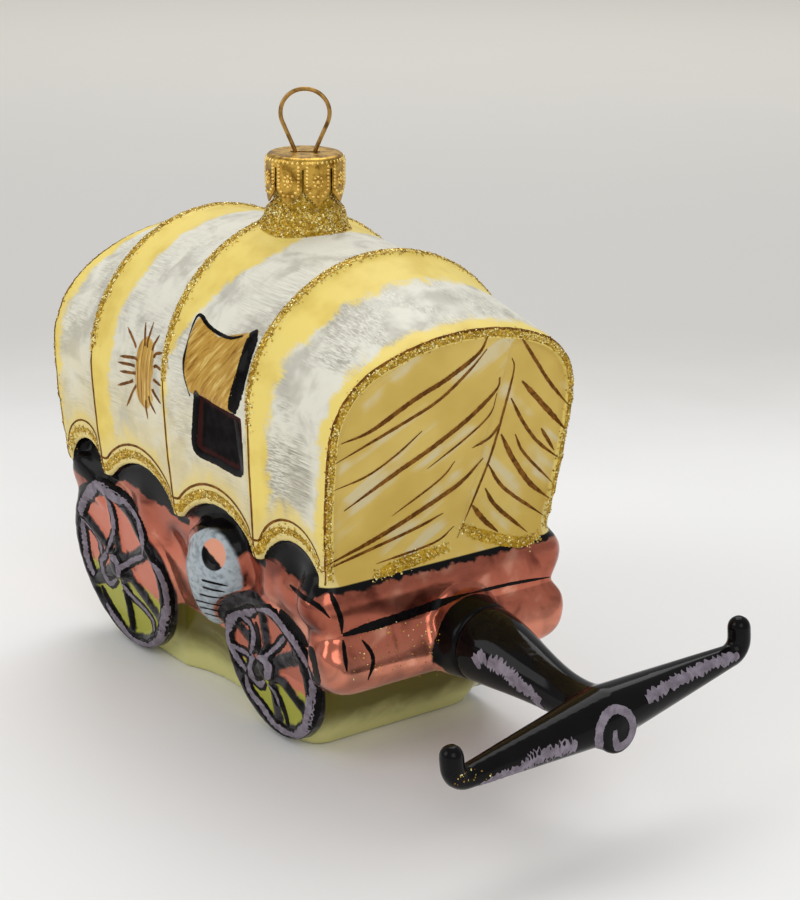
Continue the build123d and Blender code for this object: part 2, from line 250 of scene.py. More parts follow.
# Darker olive, used as painted shade at the top of the base under the box
OLIVE_SHADE = srgb(92, 84, 26)
LIME = srgb(166, 166, 60)
BLACK = srgb(7, 6, 6)
SOOT = srgb(20, 17, 18)
IRON = srgb(64, 61, 65)
LILAC = srgb(146, 137, 148)
LILAC_DEEP = srgb(116, 107, 117)
BUCKET_GREY = srgb(172, 182, 188)
BUCKET_DEEP = srgb(132, 142, 148)
BUCKET_INSIDE = srgb(226, 158, 130)
GOLD_BROWN = srgb(196, 152, 66)
GOLD_DEEP = srgb(140, 92, 28)
GOLD_PALE = srgb(232, 202, 120)
WINDOW_DARK = srgb(9, 4, 5)
# Reddish brown of the window's jambs, a painted highlight
WINDOW_JAMB_HIGHLIGHT = srgb(52, 22, 20)
BROWN_LINE = srgb(96, 56, 14)
BROWN_PALE = srgb(146, 96, 36)
GLITTER_DEEP = srgb(156, 118, 28)
GLITTER_GOLD = srgb(216, 176, 54)
GLITTER_PALE = srgb(255, 246, 176)
CAP_GOLD = srgb(210, 168, 76)
CAP_DEEP = srgb(126, 90, 26)
BEAD_GOLD = srgb(252, 222, 136)
WIRE_BRASS = srgb(178, 138, 76)
WIRE_DEEP = srgb(104, 72, 32)
FLOOR_NEAR = srgb(243, 242, 240)
# Grey of the floor's band of painted shade behind the wagon
FLOOR_SHADE = srgb(204, 202, 197)
FLOOR_FAR = srgb(230, 226, 216)


class Shader:
    """A material with a Principled surface and short calls to wire its nodes."""

    def __init__(self, name):
        self.material = bpy.data.materials.new(name)
        self.material.use_nodes = True
        self.tree = self.material.node_tree
        self.surface = self.tree.nodes["Principled BSDF"]
        self.coords = self.tree.nodes.new("ShaderNodeTexCoord").outputs["Object"]

    def link(self, source, target):
        if isinstance(source, (int, float, tuple)):
            target.default_value = source
        else:
            self.tree.links.new(source, target)

    def set(self, socket, source):
        """Feed the surface's socket from another node, or set it to a value."""
        self.link(source, self.surface.inputs[socket])

    def attribute(self, name):
        node = self.tree.nodes.new("ShaderNodeAttribute")
        node.attribute_name = name
        return node.outputs["Fac"]

    def math(self, operation, first, second=0.0, clamp=False):
        node = self.tree.nodes.new("ShaderNodeMath")
        node.operation = operation
        node.use_clamp = clamp
        self.link(first, node.inputs[0])
        self.link(second, node.inputs[1])
        return node.outputs[0]

    def add(self, first, second):
        return self.math("ADD", first, second)

    def times(self, first, second):
        return self.math("MULTIPLY", first, second)

    def most(self, first, second):
        return self.math("MAXIMUM", first, second)

    def off_centre(self, noise, size):
        """Noise shifted to run evenly about zero, as wide as the given size."""
        return self.times(self.math("SUBTRACT", noise, 0.5), size)

    def ramp(self, value, low, high, start=0.0, end=1.0):
        """A smooth step from start, where the value is low, to end, where it is high."""
        node = self.tree.nodes.new("ShaderNodeMapRange")
        node.interpolation_type = "SMOOTHSTEP"
        self.link(value, node.inputs["Value"])
        node.inputs["From Min"].default_value = low
        node.inputs["From Max"].default_value = high
        node.inputs["To Min"].default_value = start
        node.inputs["To Max"].default_value = end
        return node.outputs["Result"]

    def scaled(self, x, y, z):
        """Object coordinates in millimetres, scaled along each axis."""
        node = self.tree.nodes.new("ShaderNodeMapping")
        node.inputs["Scale"].default_value = (x / MM, y / MM, z / MM)
        self.link(self.coords, node.inputs["Vector"])
        return node.outputs["Vector"]

    def combined(self, x, y, z):
        node = self.tree.nodes.new("ShaderNodeCombineXYZ")
        for value, socket in zip((x, y, z), node.inputs):
            self.link(value, socket)
        return node.outputs[0]

    def split(self):
        node = self.tree.nodes.new("ShaderNodeSeparateXYZ")
        self.link(self.scaled(1, 1, 1), node.inputs[0])
        return node.outputs

    def noise(self, vector, detail=2.0, roughness=0.5, distortion=0.0):
        node = self.tree.nodes.new("ShaderNodeTexNoise")
        self.link(vector, node.inputs["Vector"])
        node.inputs["Scale"].default_value = 1.0
        node.inputs["Detail"].default_value = detail
        node.inputs["Roughness"].default_value = roughness
        node.inputs["Distortion"].default_value = distortion
        return node.outputs["Fac"]

    def mix(self, factor, first, second):
        node = self.tree.nodes.new("ShaderNodeMix")
        node.data_type = "RGBA"
        self.link(factor, node.inputs["Factor"])
        self.link(first, node.inputs[6])
        self.link(second, node.inputs[7])
        return node.outputs[2]

    def blend(self, factor, first, second):
        """Like mix, for plain numbers."""
        node = self.tree.nodes.new("ShaderNodeMix")
        self.link(factor, node.inputs["Factor"])
        self.link(first, node.inputs[2])
        self.link(second, node.inputs[3])
        return node.outputs[0]

    def bump(self, height, distance, strength):
        node = self.tree.nodes.new("ShaderNodeBump")
        node.inputs["Strength"].default_value = strength
        node.inputs["Distance"].default_value = distance * MM
        self.link(height, node.inputs["Height"])
        self.set("Normal", node.outputs[0])


# Camera and pixel rays


def camera_axes():
    """Right, up and backward directions of the photograph's camera."""
    back = Vector(
        (
            math.sin(CAMERA_AZIMUTH) * math.cos(CAMERA_ELEVATION),
            -math.cos(CAMERA_AZIMUTH) * math.cos(CAMERA_ELEVATION),
            math.sin(CAMERA_ELEVATION),
        )
    )
    level = Vector((math.cos(CAMERA_AZIMUTH), math.sin(CAMERA_AZIMUTH), 0))
    upright = back.cross(level)
    right = level * math.cos(CAMERA_ROLL) + upright * math.sin(CAMERA_ROLL)
    up = upright * math.cos(CAMERA_ROLL) - level * math.sin(CAMERA_ROLL)
    return right, up, back


RIGHT, UP, BACK = camera_axes()
EYE = CAMERA_TARGET + BACK * CAMERA_DISTANCE


def pixel_ray(x, y):
    """Direction from the camera through a pixel of the photograph."""
    across = (x - IMAGE_WIDTH / 2) / FOCAL_PX
    down = (y - IMAGE_HEIGHT / 2) / FOCAL_PX
    return (RIGHT * across - UP * down - BACK).normalized()


def add_camera():
    """The photograph's camera."""
    data = bpy.data.cameras.new("camera")
    data.sensor_fit = "VERTICAL"
    data.sensor_height = SENSOR_MM
    data.lens = FOCAL_PX * SENSOR_MM / IMAGE_HEIGHT
    data.clip_start = 0.01
    camera = bpy.data.objects.new("camera", data)
    turn = Matrix((RIGHT, UP, BACK)).transposed().to_4x4()
    camera.matrix_world = Matrix.Translation(EYE * MM) @ turn
    bpy.context.scene.collection.objects.link(camera)
    bpy.context.scene.camera = camera


# Meshes


def new_object(name, mesh):
    """An object in the scene that shows the mesh."""
    made = bpy.data.objects.new(name, mesh)
    bpy.context.scene.collection.objects.link(made)
    return made


def outer_skin(node):
    """The CAD node's outer surface in millimetres, closed at neck and thin corners, without the hollow."""
    skin = bmesh.new()
    skin.from_mesh(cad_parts[node].data)
    bmesh.ops.transform(skin, matrix=Matrix.Scale(1 / MM, 4), verts=skin.verts)
    bmesh.ops.remove_doubles(skin, verts=skin.verts, dist=0.0005)
    level = [f for f in skin.faces if f.normal.z > 0.99]
    neck_rim = [f for f in level if abs(f.calc_center_median().z - Z_NECK_TOP) < 0.05]
    bmesh.ops.delete(skin, geom=neck_rim, context="FACES_ONLY")
    lowest = min(skin.verts, key=lambda v: v.co.z)
    keep = {lowest}
    front = [lowest]
    while front:
        vert = front.pop()
        for edge in vert.link_edges:
            if not edge.link_faces:
                continue
            other = edge.other_vert(vert)
            if other not in keep:
                keep.add(other)
                front.append(other)
    bmesh.ops.delete(skin, geom=[v for v in skin.verts if v not in keep], context="VERTS")
    open_edges = [e for e in skin.edges if e.is_boundary]
    bmesh.ops.holes_fill(skin, edges=open_edges, sides=0)
    for corner in (Vector(CORNER_FILL), other_side(Vector(CORNER_FILL))):
        place = Matrix.Translation(corner)
        bmesh.ops.create_icosphere(skin, subdivisions=2, radius=CORNER_FILL_R, matrix=place)
    mesh = bpy.data.meshes.new(node + "_skin")
    skin.to_mesh(mesh)
    skin.free()
    return mesh


def softened(mesh, voxel, rounds):
    """Vertices and faces of the mesh, with edges rounded as in moulded glass."""
    carrier = new_object(mesh.name, mesh)
    remesh = carrier.modifiers.new("remesh", "REMESH")
    remesh.mode = "VOXEL"
    remesh.voxel_size = voxel
    smooth = carrier.modifiers.new("smooth", "SMOOTH")
    smooth.factor = 0.5
    smooth.iterations = rounds
    bpy.context.view_layer.update()
    made = bpy.data.meshes.new_from_object(carrier.evaluated_get(bpy.context.evaluated_depsgraph_get()))
    points = np.empty(len(made.vertices) * 3)
    made.vertices.foreach_get("co", points)
    faces = [tuple(p.vertices) for p in made.polygons]
    bpy.data.objects.remove(carrier)
    bpy.data.meshes.remove(made)
    return points.reshape(-1, 3), faces


def piece(name, points, faces, shader, body):
    """A shown mesh from points in millimetres, riding on a body."""
    mesh = bpy.data.meshes.new(name)
    mesh.from_pydata((np.asarray(points) * MM).tolist(), [], faces)
    mesh.polygons.foreach_set("use_smooth", [True] * len(mesh.polygons))
    mesh.materials.append(shader.material)
    made = new_object(name, mesh)
    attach(made, body)
    return made


def give_attributes(thing, values):
    """Store a number for each point, under each name."""
    for name, data in values.items():
        layer = thing.data.attributes.new(name, "FLOAT", "POINT")
        layer.data.foreach_set("value", np.asarray(data, np.float32))


def used_part(points, faces, chosen):
    """The points that the chosen faces use, and those faces."""
    kept = [f for f, c in zip(faces, chosen) if c]
    used = sorted({i for f in kept for i in f})
    place = {old: new for new, old in enumerate(used)}
    return points[used], [tuple(place[i] for i in f) for f in kept]


# Where things are on the body


def hem_height(x):
    """Height of the scalloped hem over x."""
    z = np.full_like(x, Z_HEM)
    for rear, front in zip(BOWS, BOWS[1:]):
        start = rear[0] + SCALLOP_GAP
        end = front[0] - SCALLOP_GAP
        half = (end - start) / 2
        radius = (half**2 + SCALLOP_RISE**2) / (2 * SCALLOP_RISE)
        inside = np.abs(x - start - half) < half
        arc = np.sqrt(np.maximum(radius**2 - (x - start - half) ** 2, 0)) - radius + SCALLOP_RISE
        z = np.where(inside, Z_HEM + arc, z)
    return z


def hem_half_width(x):
    """Half width of the cover at its hem, over x."""
    return np.interp(x, [b[0] for b in BOWS], [b[2] for b in BOWS])


def bay_count(x, z):
    """0 at the rear bow, 1 at the next and so on, running smoothly between bows."""
    count = np.zeros_like(x)
    at = [b[0] + (z - Z_HEM) * math.tan(math.radians(b[1])) for b in BOWS]
    for rear, front in zip(at, at[1:]):
        count += np.clip((x - rear) / (front - rear), 0, 1)
    return count


def bow_outline(bow, grow=0.0, steps=24):
    """Points (across, up) of a bow from the right hem over the crown to the left hem."""
    hem, side = bow[2] + grow, bow[3] + grow
    spring = bow[5] - Z_HEM
    rise = bow[4] - Z_HEM + grow
    shoulder = bow[6] + grow
    across, height = side - shoulder, rise - spring
    crown = (across**2 + height**2 - shoulder**2) / (2 * (height - shoulder))
    turn = math.atan2(spring - (rise - crown), across)
    bulge = ((side - hem) ** 2 + spring**2) / (2 * (side - hem))
    half = []
    for k in range(steps):
        up = spring * k / steps
        half.append((side - bulge + math.sqrt(bulge**2 - (spring - up) ** 2), up))
    for k in range(steps):
        a = turn * k / steps
        half.append((across + shoulder * math.cos(a), spring + shoulder * math.sin(a)))
    for k in range(steps + 1):
        a = turn + (math.pi / 2 - turn) * k / steps
        half.append((crown * math.cos(a), rise - crown + crown * math.sin(a)))
    return [(-y, v) for y, v in half] + [(y, v) for y, v in reversed(half[:-1])]


def bow_point(bow, across, up, ahead=0.0):
    """Place in the wagon of a point in a bow's leaning plane."""
    lean = math.radians(bow[1])
    x = bow[0] + up * math.sin(lean) + ahead * math.cos(lean)
    return Vector((x, across, Z_HEM + up * math.cos(lean) - ahead * math.sin(lean)))


def in_bow_plane(points, bow):
    """Distance ahead of a bow's plane, across and up in it, for an array of points."""
    lean = math.radians(bow[1])
    x = points[:, 0] - bow[0]
    z = points[:, 2] - Z_HEM
    ahead = x * math.cos(lean) - z * math.sin(lean)
    up = x * math.sin(lean) + z * math.cos(lean)
    return ahead, points[:, 1], up


def polygon_depth(x, z, corners):
    """Distance inside a polygon's edge, negative outside it."""
    nearest = np.full_like(x, 1e9)
    inside = np.zeros(len(x), bool)
    for (x0, z0), (x1, z1) in zip(corners, corners[1:] + corners[:1]):
        ex, ez = x1 - x0, z1 - z0
        along = np.clip(((x - x0) * ex + (z - z0) * ez) / max(ex * ex + ez * ez, 1e-9), 0, 1)
        nearest = np.minimum(nearest, np.hypot(x - x0 - along * ex, z - z0 - along * ez))
        if z0 != z1:
            crosses = ((z0 > z) != (z1 > z)) & (x < ex * (z - z0) / ez + x0)
            inside ^= crosses
    return np.where(inside, nearest, -nearest)


def bare_distance(x, z):
    """How far past the bare yellow band of its bay a point lies, in millimetres."""
    count = np.minimum(bay_count(x, z), len(BARE_BANDS) - 0.001)
    number = count.astype(int)
    within = count - number
    low, high, start, rim = np.array(BARE_BANDS)[number].T
    length = np.diff([b[0] for b in BOWS])[number]
    rise = np.clip((z - start) / (BARE_TOP - start), 0, 1)
    past = (within - low - (high - low) * rise**BARE_CURVE) * length
    return np.minimum(past, (1 - within) * length - rim)


def curtain_values(points):
    """Distance inside the curtain of either end, and a count of folds across its brush strokes."""
    best = np.full(len(points), -FAR_OFF)
    folds = np.zeros(len(points))
    for bow, facing in ((BOWS[0], -1), (BOWS[-1], 1)):
        ahead, across, up = in_bow_plane(points, bow)
        near = np.where(np.abs(ahead) < CURTAIN_REACH)[0]
        ahead, across, up = ahead[near], across[near], up[near]
        edge = polygon_depth(across, up, bow_outline(bow, -CURTAIN_INSET))
        value = np.minimum(edge, ahead * facing + CURTAIN_DEPTH)
        parting = PARTING_HEM + (PARTING_TOP - PARTING_HEM) * up / (bow[4] - Z_HEM)
        share = np.where((across > parting)[:, None], FOLD_LEFT, FOLD_RIGHT)
        fold = across * share[:, 0] + up * share[:, 1]
        better = value > best[near]
        best[near] = np.where(better, value, best[near])
        folds[near] = np.where(better, fold, folds[near])
    return best, folds


def in_side_plane(points, x, face_y, z, tilt):
    """Along, up and ahead of a face on the wagon's side that leans outwards at its top."""
    out = np.abs(points[:, 1]) - face_y
    high = points[:, 2] - z
    up = high * math.cos(tilt) + out * math.sin(tilt)
    ahead = out * math.cos(tilt) - high * math.sin(tilt)
    return points[:, 0] - x, up, ahead


def wheel_values(points):
    """Of the nearest wheel: inside its rim, ahead of its face, off spoke and hub, share of its height."""
    rear = points[:, 0] < (WHEELS[0][0] + WHEELS[1][0]) / 2
    x, radius, face_y = np.where(rear[:, None], WHEELS[0], WHEELS[1]).T
    z = WHEEL_CLEAR + radius * math.cos(WHEEL_TILT)
    along, up, ahead = in_side_plane(points, x, face_y, z, WHEEL_TILT)
    from_hub = np.hypot(along, up)
    pitch = math.tau / SPOKES
    turn = (np.arctan2(up, along) - FIRST_SPOKE + pitch / 2) % pitch - pitch / 2
    spoke = np.abs(from_hub * np.sin(turn))
    return {
        "rim": radius - from_hub,
        "ahead": ahead,
        "spoke": spoke,
        "from_hub": from_hub,
        "wheel_up": up / radius,
    }


def on_wheel(points):
    """Whether points belong to a wheel's disc."""
    wheel = wheel_values(points)
    return (wheel["rim"] > -WHEEL_EDGE) & (wheel["ahead"] > -WHEEL_THICKNESS)


def bucket_round(points):
    """Share of the way from the bucket's middle to its outline, and ahead of the bucket's face."""
    along, up, ahead = in_side_plane(points, BUCKET_X, BUCKET_FACE_Y, BUCKET_Z, BUCKET_TILT)
    up = up - BUCKET_UP
    high = up / np.where(up > 0, BUCKET_RISE, BUCKET_DROP)
    half = BUCKET_HALF + (BUCKET_FOOT_HALF - BUCKET_HALF) * np.clip(-high, 0, 1)
    return np.hypot((along - BUCKET_ALONG - BUCKET_LEAN * up) / half, high), ahead


def from_mouth(points, mouth):
    """Forward of, out from and above the middle of the bucket's mouth, on either side."""
    return np.abs(points * (0, 1, 0)) + points * (1, 0, 1) - np.array((mouth.x, abs(mouth.y), mouth.z))


def bucket_values(points, mouth):
    """Distance inside the bucket's outline and inside its mouth, and across the shade in the mouth."""
    reach, ahead = bucket_round(points)
    inside = np.minimum((BUCKET_EDGE - reach) * BUCKET_HALF, ahead + BUCKET_BEHIND)
    away = from_mouth(points, mouth)
    return {
        "bucket": np.where(on_wheel(points), -1, inside),
        "mouth": MOUTH_R - np.linalg.norm(away, axis=1),
        "tip": away @ MOUTH_SHADE,
    }


def paint_attributes(points, mouth):
    """All distances that the body's paint is laid out by."""
    x, y, z = points.T.copy()
    off_side = np.where(np.abs(y) > SIDE_FROM, 0.0, -FAR_OFF)
    curtain, fold = curtain_values(points)
    capsule = PATCH_HALF_HEIGHT - PATCH_HALF_WIDTH
    reach = np.hypot(x - PATCH_X, np.maximum(np.abs(z - PATCH_Z) - capsule, 0))
    bay = bay_count(x, z)
    hem = z - np.where(curtain > CURTAIN_SHOWN, Z_HEM, hem_height(x))
    # Painted shade: the hem's underside, set back from the cover's face, takes the black painted just under
    # the hem
    under = (x > BOWS[0][0] + SOFFIT_REAR) & (x < BOWS[-1][0] - SOFFIT_FRONT)
    under &= (hem < SOFFIT_HEIGHT) & (curtain < CURTAIN_SHOWN)
    behind_face = np.clip(hem_half_width(x) - np.abs(y) - SOFFIT_INSET, 0, SOFFIT_BLEND)
    values = {
        "hem": hem - np.where(under, behind_face * SOFFIT_DROP, 0),
        "rear_bay": np.clip(REAR_BAY_END - bay, 0, REAR_BAY_BLEND) / REAR_BAY_BLEND,
        "bare": bare_distance(x, z),
        "front_bay": np.clip(bay - FRONT_BAY_START, 0, 1),
        "across_bay": bay % 1.0,
        "curtain": curtain,
        "fold": fold,
        "window": polygon_depth(x, z, WINDOW) + off_side,
        "flap": polygon_depth(x, z, FLAP) + off_side,
        "patch": PATCH_HALF_WIDTH - reach + off_side,
        "stub": np.minimum(STUB_R - np.hypot(y - DRAWBAR_Y, z - STUB_Z), x - STUB_START_X),
        "skirt": np.minimum(NECK_SKIRT_R - np.hypot(x - NECK_X, y), z - Z_NECK_SKIRT),
    }
    return values | wheel_values(points) | bucket_values(points, mouth)


# Materials


def cover_colour(s):
    """Butter-yellow cloth, brushed white past the bare bands, with grey hairs in the white."""
    height = s.split()[2]
    ragged = s.noise(s.scaled(0.2, 0.2, 0.2), 4.0, 0.6, 0.5)
    cloudy = s.noise(s.scaled(0.11, 0.11, 0.11), 3.0, 0.55)
    hairs = s.noise(s.scaled(0.1, 3.2, 3.2), 4.0, 0.65, 0.7)
    past = s.add(s.attribute("bare"), s.off_centre(ragged, 5.0))
    past = s.add(past, s.off_centre(hairs, 2.2))
    above_hem = s.add(s.attribute("hem"), s.off_centre(ragged, 9.0))
    white = s.times(s.ramp(past, -0.3, 1.1), s.ramp(above_hem, 3.5, 7.5))
    yellow = s.mix(s.ramp(cloudy, 0.42, 0.7), BUTTER, BUTTER_DEEP)
    yellow = s.mix(s.ramp(s.attribute("hem"), 3.0, 9.0, 0.55, 0.0), yellow, CREAM)
    brushed = s.times(s.ramp(hairs, 0.36, 0.66), s.ramp(cloudy, 0.38, 0.6))
    brushed = s.times(brushed, s.ramp(s.attribute("front_bay"), 0.0, 0.6, 0.55, 1.0))
    brushed = s.times(brushed, s.ramp(height, 66.0, 82.0, 1.0, 0.5))
    cloth = s.mix(brushed, WHITE, SILVER)
    dull = s.noise(s.scaled(0.15, 0.15, 0.15), 3.0, 0.55, 0.4)
    cloth = s.mix(s.ramp(dull, 0.46, 0.68, 0.0, 0.5), cloth, SILVER)
    behind = s.ramp(s.attribute("front_bay"), 0.3, 0.6, 1.0, 0.2)
    low = s.times(s.ramp(height, 42.0, 66.0, 0.75, 0.0), behind)
    cloth = s.mix(s.times(low, s.ramp(ragged, 0.3, 0.62, 0.4, 1.0)), cloth, CREAM)
    return s.mix(white, yellow, cloth), s.times(white, hairs)


def curtain_colour(s):
    """Mustard curtain with pale washes along its folds."""
    fold = s.attribute("fold")
    along = s.noise(s.combined(s.times(fold, 0.3), s.times(s.split()[1], 0.04), 0.0), 2.0, 0.5, 0.3)
    patchy = s.noise(s.scaled(0.1, 0.1, 0.1), 2.0, 0.5)
    colour = s.mix(s.ramp(patchy, 0.3, 0.7, 0.3, 1.0), MUSTARD_DEEP, MUSTARD)
    wash = s.times(s.ramp(along, 0.5, 0.62), s.ramp(patchy, 0.44, 0.58, 0.0, 0.75))
    return s.mix(wash, colour, WASH)


def gold_colours(s):
    """The flap's slanting brushwork and the patch's upright one."""
    x, y, z = s.split()
    across = s.math("SUBTRACT", s.times(x, 0.77), s.times(z, 0.64))
    along = s.add(s.times(x, 0.64), s.times(z, 0.77))
    slant = s.noise(s.combined(s.times(across, 1.1), s.times(along, 0.16), 0.0), 4.0, 0.65, 0.5)
    flap = s.mix(s.ramp(slant, 0.3, 0.5), GOLD_DEEP, GOLD_BROWN)
    flap = s.mix(s.ramp(slant, 0.5, 0.7), flap, GOLD_PALE)
    upright = s.noise(s.combined(s.times(x, 1.5), s.times(z, 0.12), 0.0), 3.0, 0.6, 0.3)
    patch = s.mix(s.ramp(upright, 0.34, 0.52), GOLD_DEEP, GOLD_BROWN)
    patch = s.mix(s.ramp(upright, 0.52, 0.68), patch, GOLD_PALE)
    return flap, patch


def box_colour(s, wobble):
    """Copper box with painted shade on its upper plank and a painted highlight on its lower one, olive base
    darkened at its top as painted shade under the box, and black under the scallops of the hem that is
    partly black paint and partly painted shade.
    """
    height = s.split()[2]
    cloudy = s.noise(s.scaled(0.1, 0.16, 0.16), 3.0, 0.5, 0.5)
    copper = s.mix(s.ramp(cloudy, 0.3, 0.52), COPPER_DEEP_AND_SHADE, COPPER)
    copper = s.mix(s.ramp(cloudy, 0.54, 0.74), copper, COPPER_PALE_AND_HIGHLIGHT)
    # Painted shade darkens the upper plank under the cover's hem; a painted highlight pales the lower plank
    copper = s.mix(s.ramp(height, 25.0, 31.0, 0.0, 0.4), copper, COPPER_DEEP_AND_SHADE)
    copper = s.mix(s.ramp(height, 20.0, 25.0, 0.4, 0.0), copper, COPPER_PALE_AND_HIGHLIGHT)
    # Painted shade: the olive base darkens towards its top, under the box's overhang
    olive = s.mix(s.ramp(s.add(height, s.off_centre(cloudy, 5.0)), 2.0, 9.0), OLIVE, OLIVE_SHADE)
    foot = s.add(height, s.off_centre(wobble, 1.6))
    base = s.ramp(foot, Z_BOX_FOOT - 0.9, Z_BOX_FOOT - 0.4, 1.0, 0.0)
    colour = s.mix(base, copper, olive)
    # Black under each scallop of the hem and a black line just under the hem: partly black paint, partly
    # painted shade under the hem's overhang
    streaky = s.noise(s.scaled(0.3, 0.3, 0.5), 2.0, 0.5, 0.6)
    edge = s.add(s.math("SUBTRACT", height, Z_HEM), s.off_centre(streaky, 3.4))
    edge = s.add(edge, s.times(s.attribute("across_bay"), 2.8))
    edge = s.add(edge, s.times(s.attribute("rear_bay"), 2.6))
    side = s.ramp(s.math("ABSOLUTE", s.split()[1]), 19.0, 20.5)
    scallop = s.times(s.ramp(edge, 0.2, 0.9), side)
    under_hem_black_and_shade = s.add(s.attribute("hem"), s.off_centre(wobble, 2.5))
    black = s.most(scallop, s.ramp(under_hem_black_and_shade, -1.4, -0.9))
    return s.mix(black, colour, s.mix(streaky, BLACK, SOOT)), s.most(black, base)


def wheel_colour(s, colour, wobble):
    """Dark rims, spokes and hubs, with copper between the upper spokes and lime between the lower ones."""
    jitter = s.off_centre(wobble, 1.6)
    upper = s.ramp(s.add(s.attribute("wheel_up"), s.times(jitter, 0.15)), -0.22, -0.12)
    pocket = s.mix(upper, LIME, COPPER)
    smoky = s.noise(s.scaled(0.22, 0.22, 0.22), 3.0, 0.6, 0.8)
    iron = s.mix(s.ramp(smoky, 0.42, 0.62), BLACK, IRON)
    spoke = s.ramp(s.add(s.attribute("spoke"), jitter), 1.1, 1.7, 1.0, 0.0)
    rim = s.ramp(s.add(s.attribute("rim"), jitter), 2.5, 3.1, 1.0, 0.0)
    hub = s.ramp(s.add(s.attribute("from_hub"), jitter), 3.2, 3.8, 1.0, 0.0)
    dark = s.most(s.most(spoke, rim), hub)
    in_front = s.ramp(s.attribute("ahead"), -WHEEL_THICKNESS, 0.4 - WHEEL_THICKNESS)
    disc = s.times(s.ramp(s.attribute("rim"), -0.35, -0.1), in_front)
    return s.mix(disc, colour, s.mix(dark, pocket, iron)), s.times(disc, dark)


def body_shader():
    """One paint for the whole glass body, laid out by the attributes."""
    s = Shader("painted_glass_body")
    wobble = s.noise(s.scaled(0.4, 0.4, 0.4), 3.0, 0.6)
    cover, brushwork = cover_colour(s)
    cover = s.mix(s.ramp(s.attribute("curtain"), -0.1, 0.1), cover, curtain_colour(s))
    flap_gold, patch_gold = gold_colours(s)
    patch_edge = s.add(s.attribute("patch"), s.off_centre(wobble, 1.4))
    cover = s.mix(s.ramp(patch_edge, -0.1, 0.4), cover, patch_gold)
    flap = s.ramp(s.attribute("flap"), -0.1, 0.05)
    cover = s.mix(flap, cover, flap_gold)
    skirt = s.ramp(s.attribute("skirt"), -0.2, 0.2)
    cover = s.mix(skirt, cover, s.mix(wobble, GLITTER_DEEP, GLITTER_GOLD))

    box, plain = box_colour(s, wobble)
    box, iron = wheel_colour(s, box, wobble)
    hammered = s.noise(s.scaled(0.7, 0.7, 0.9), 3.0, 0.6)
    pail = s.mix(s.ramp(hammered, 0.3, 0.6), BUCKET_DEEP, BUCKET_GREY)
    shade = s.add(s.attribute("tip"), s.off_centre(wobble, 1.0))
    inside = s.mix(s.ramp(shade, -0.5, -0.1), BLACK, BUCKET_INSIDE)
    pail = s.mix(s.ramp(s.attribute("mouth"), -0.15, 0.1), pail, inside)
    bucket = s.ramp(s.attribute("bucket"), -0.1, 0.15)
    box = s.mix(bucket, box, pail)
    stub = s.ramp(s.add(s.attribute("stub"), s.off_centre(wobble, 1.0)), -0.2, 0.2)
    box = s.mix(stub, box, BLACK)

    is_cover = s.ramp(s.attribute("hem"), -0.2, 0.0)
    s.set("Base Color", s.mix(is_cover, box, cover))
    copper = s.math("SUBTRACT", 1.0, s.most(s.most(plain, iron), s.most(bucket, stub)), clamp=True)
    lustre = s.blend(is_cover, s.times(copper, 0.8), s.times(s.most(flap, skirt), 0.3))
    s.set("Metallic", lustre)
    satin = s.ramp(wobble, 0.3, 0.7, 0.36, 0.46)
    gloss = s.ramp(wobble, 0.3, 0.7, 0.15, 0.24)
    s.set("Roughness", s.blend(is_cover, gloss, satin))
    s.set("Specular IOR Level", 0.12)
    s.bump(s.add(brushwork, s.times(wobble, 0.6)), 0.1, 0.3)
    return s


def window_shader():
    """The dark inside of a window, reddish at its jambs as a painted highlight."""
    s = Shader("window_black")
    smoky = s.noise(s.scaled(0.4, 0.4, 0.4), 3.0, 0.6)
    jamb = s.add(s.attribute("window"), s.off_centre(smoky, 0.8))
    s.set("Base Color", s.mix(s.ramp(jamb, 0.8, 1.6), WINDOW_JAMB_HIGHLIGHT, WINDOW_DARK))
    s.set("Roughness", s.ramp(smoky, 0.3, 0.7, 0.5, 0.7))
    s.set("Specular IOR Level", 0.05)
    return s


def line_shader(name, dark, pale, metallic, roughness):
    """Brushed-on line paint, uneven in colour along the stroke."""
    s = Shader(name)
    uneven = s.noise(s.scaled(0.6, 0.6, 0.6), 3.0, 0.6, 0.6)
    s.set("Base Color", s.mix(s.ramp(uneven, 0.35, 0.7), dark, pale))
    s.set("Roughness", s.ramp(uneven, 0.3, 0.7, roughness, roughness + 0.15))
    s.set("Metallic", metallic)
    s.set("Specular IOR Level", 0.06)
    return s


def glitter_shader():
    """Gold grains, each with its own tone."""
    s = Shader("gold_glitter")
    tone = s.attribute("tone")
    gold = s.mix(s.ramp(tone, 0.0, 0.55), GLITTER_DEEP, GLITTER_GOLD)
    s.set("Base Color", s.mix(s.ramp(tone, 0.6, 1.0), gold, GLITTER_PALE))
    s.set("Roughness", s.ramp(tone, 0.0, 1.0, 0.5, 0.25))
    s.set("Metallic", 0.4)
    return s


def drawbar_shader():
    """Glossy black glass."""
    s = Shader("black_glass")
    soft = s.noise(s.scaled(0.2, 0.2, 0.2), 3.0, 0.5)
    s.set("Base Color", s.mix(soft, BLACK, SOOT))
    s.set("Roughness", s.ramp(soft, 0.3, 0.7, 0.06, 0.13))
    s.set("Specular IOR Level", 0.12)
    s.bump(soft, 0.1, 0.25)
    return s


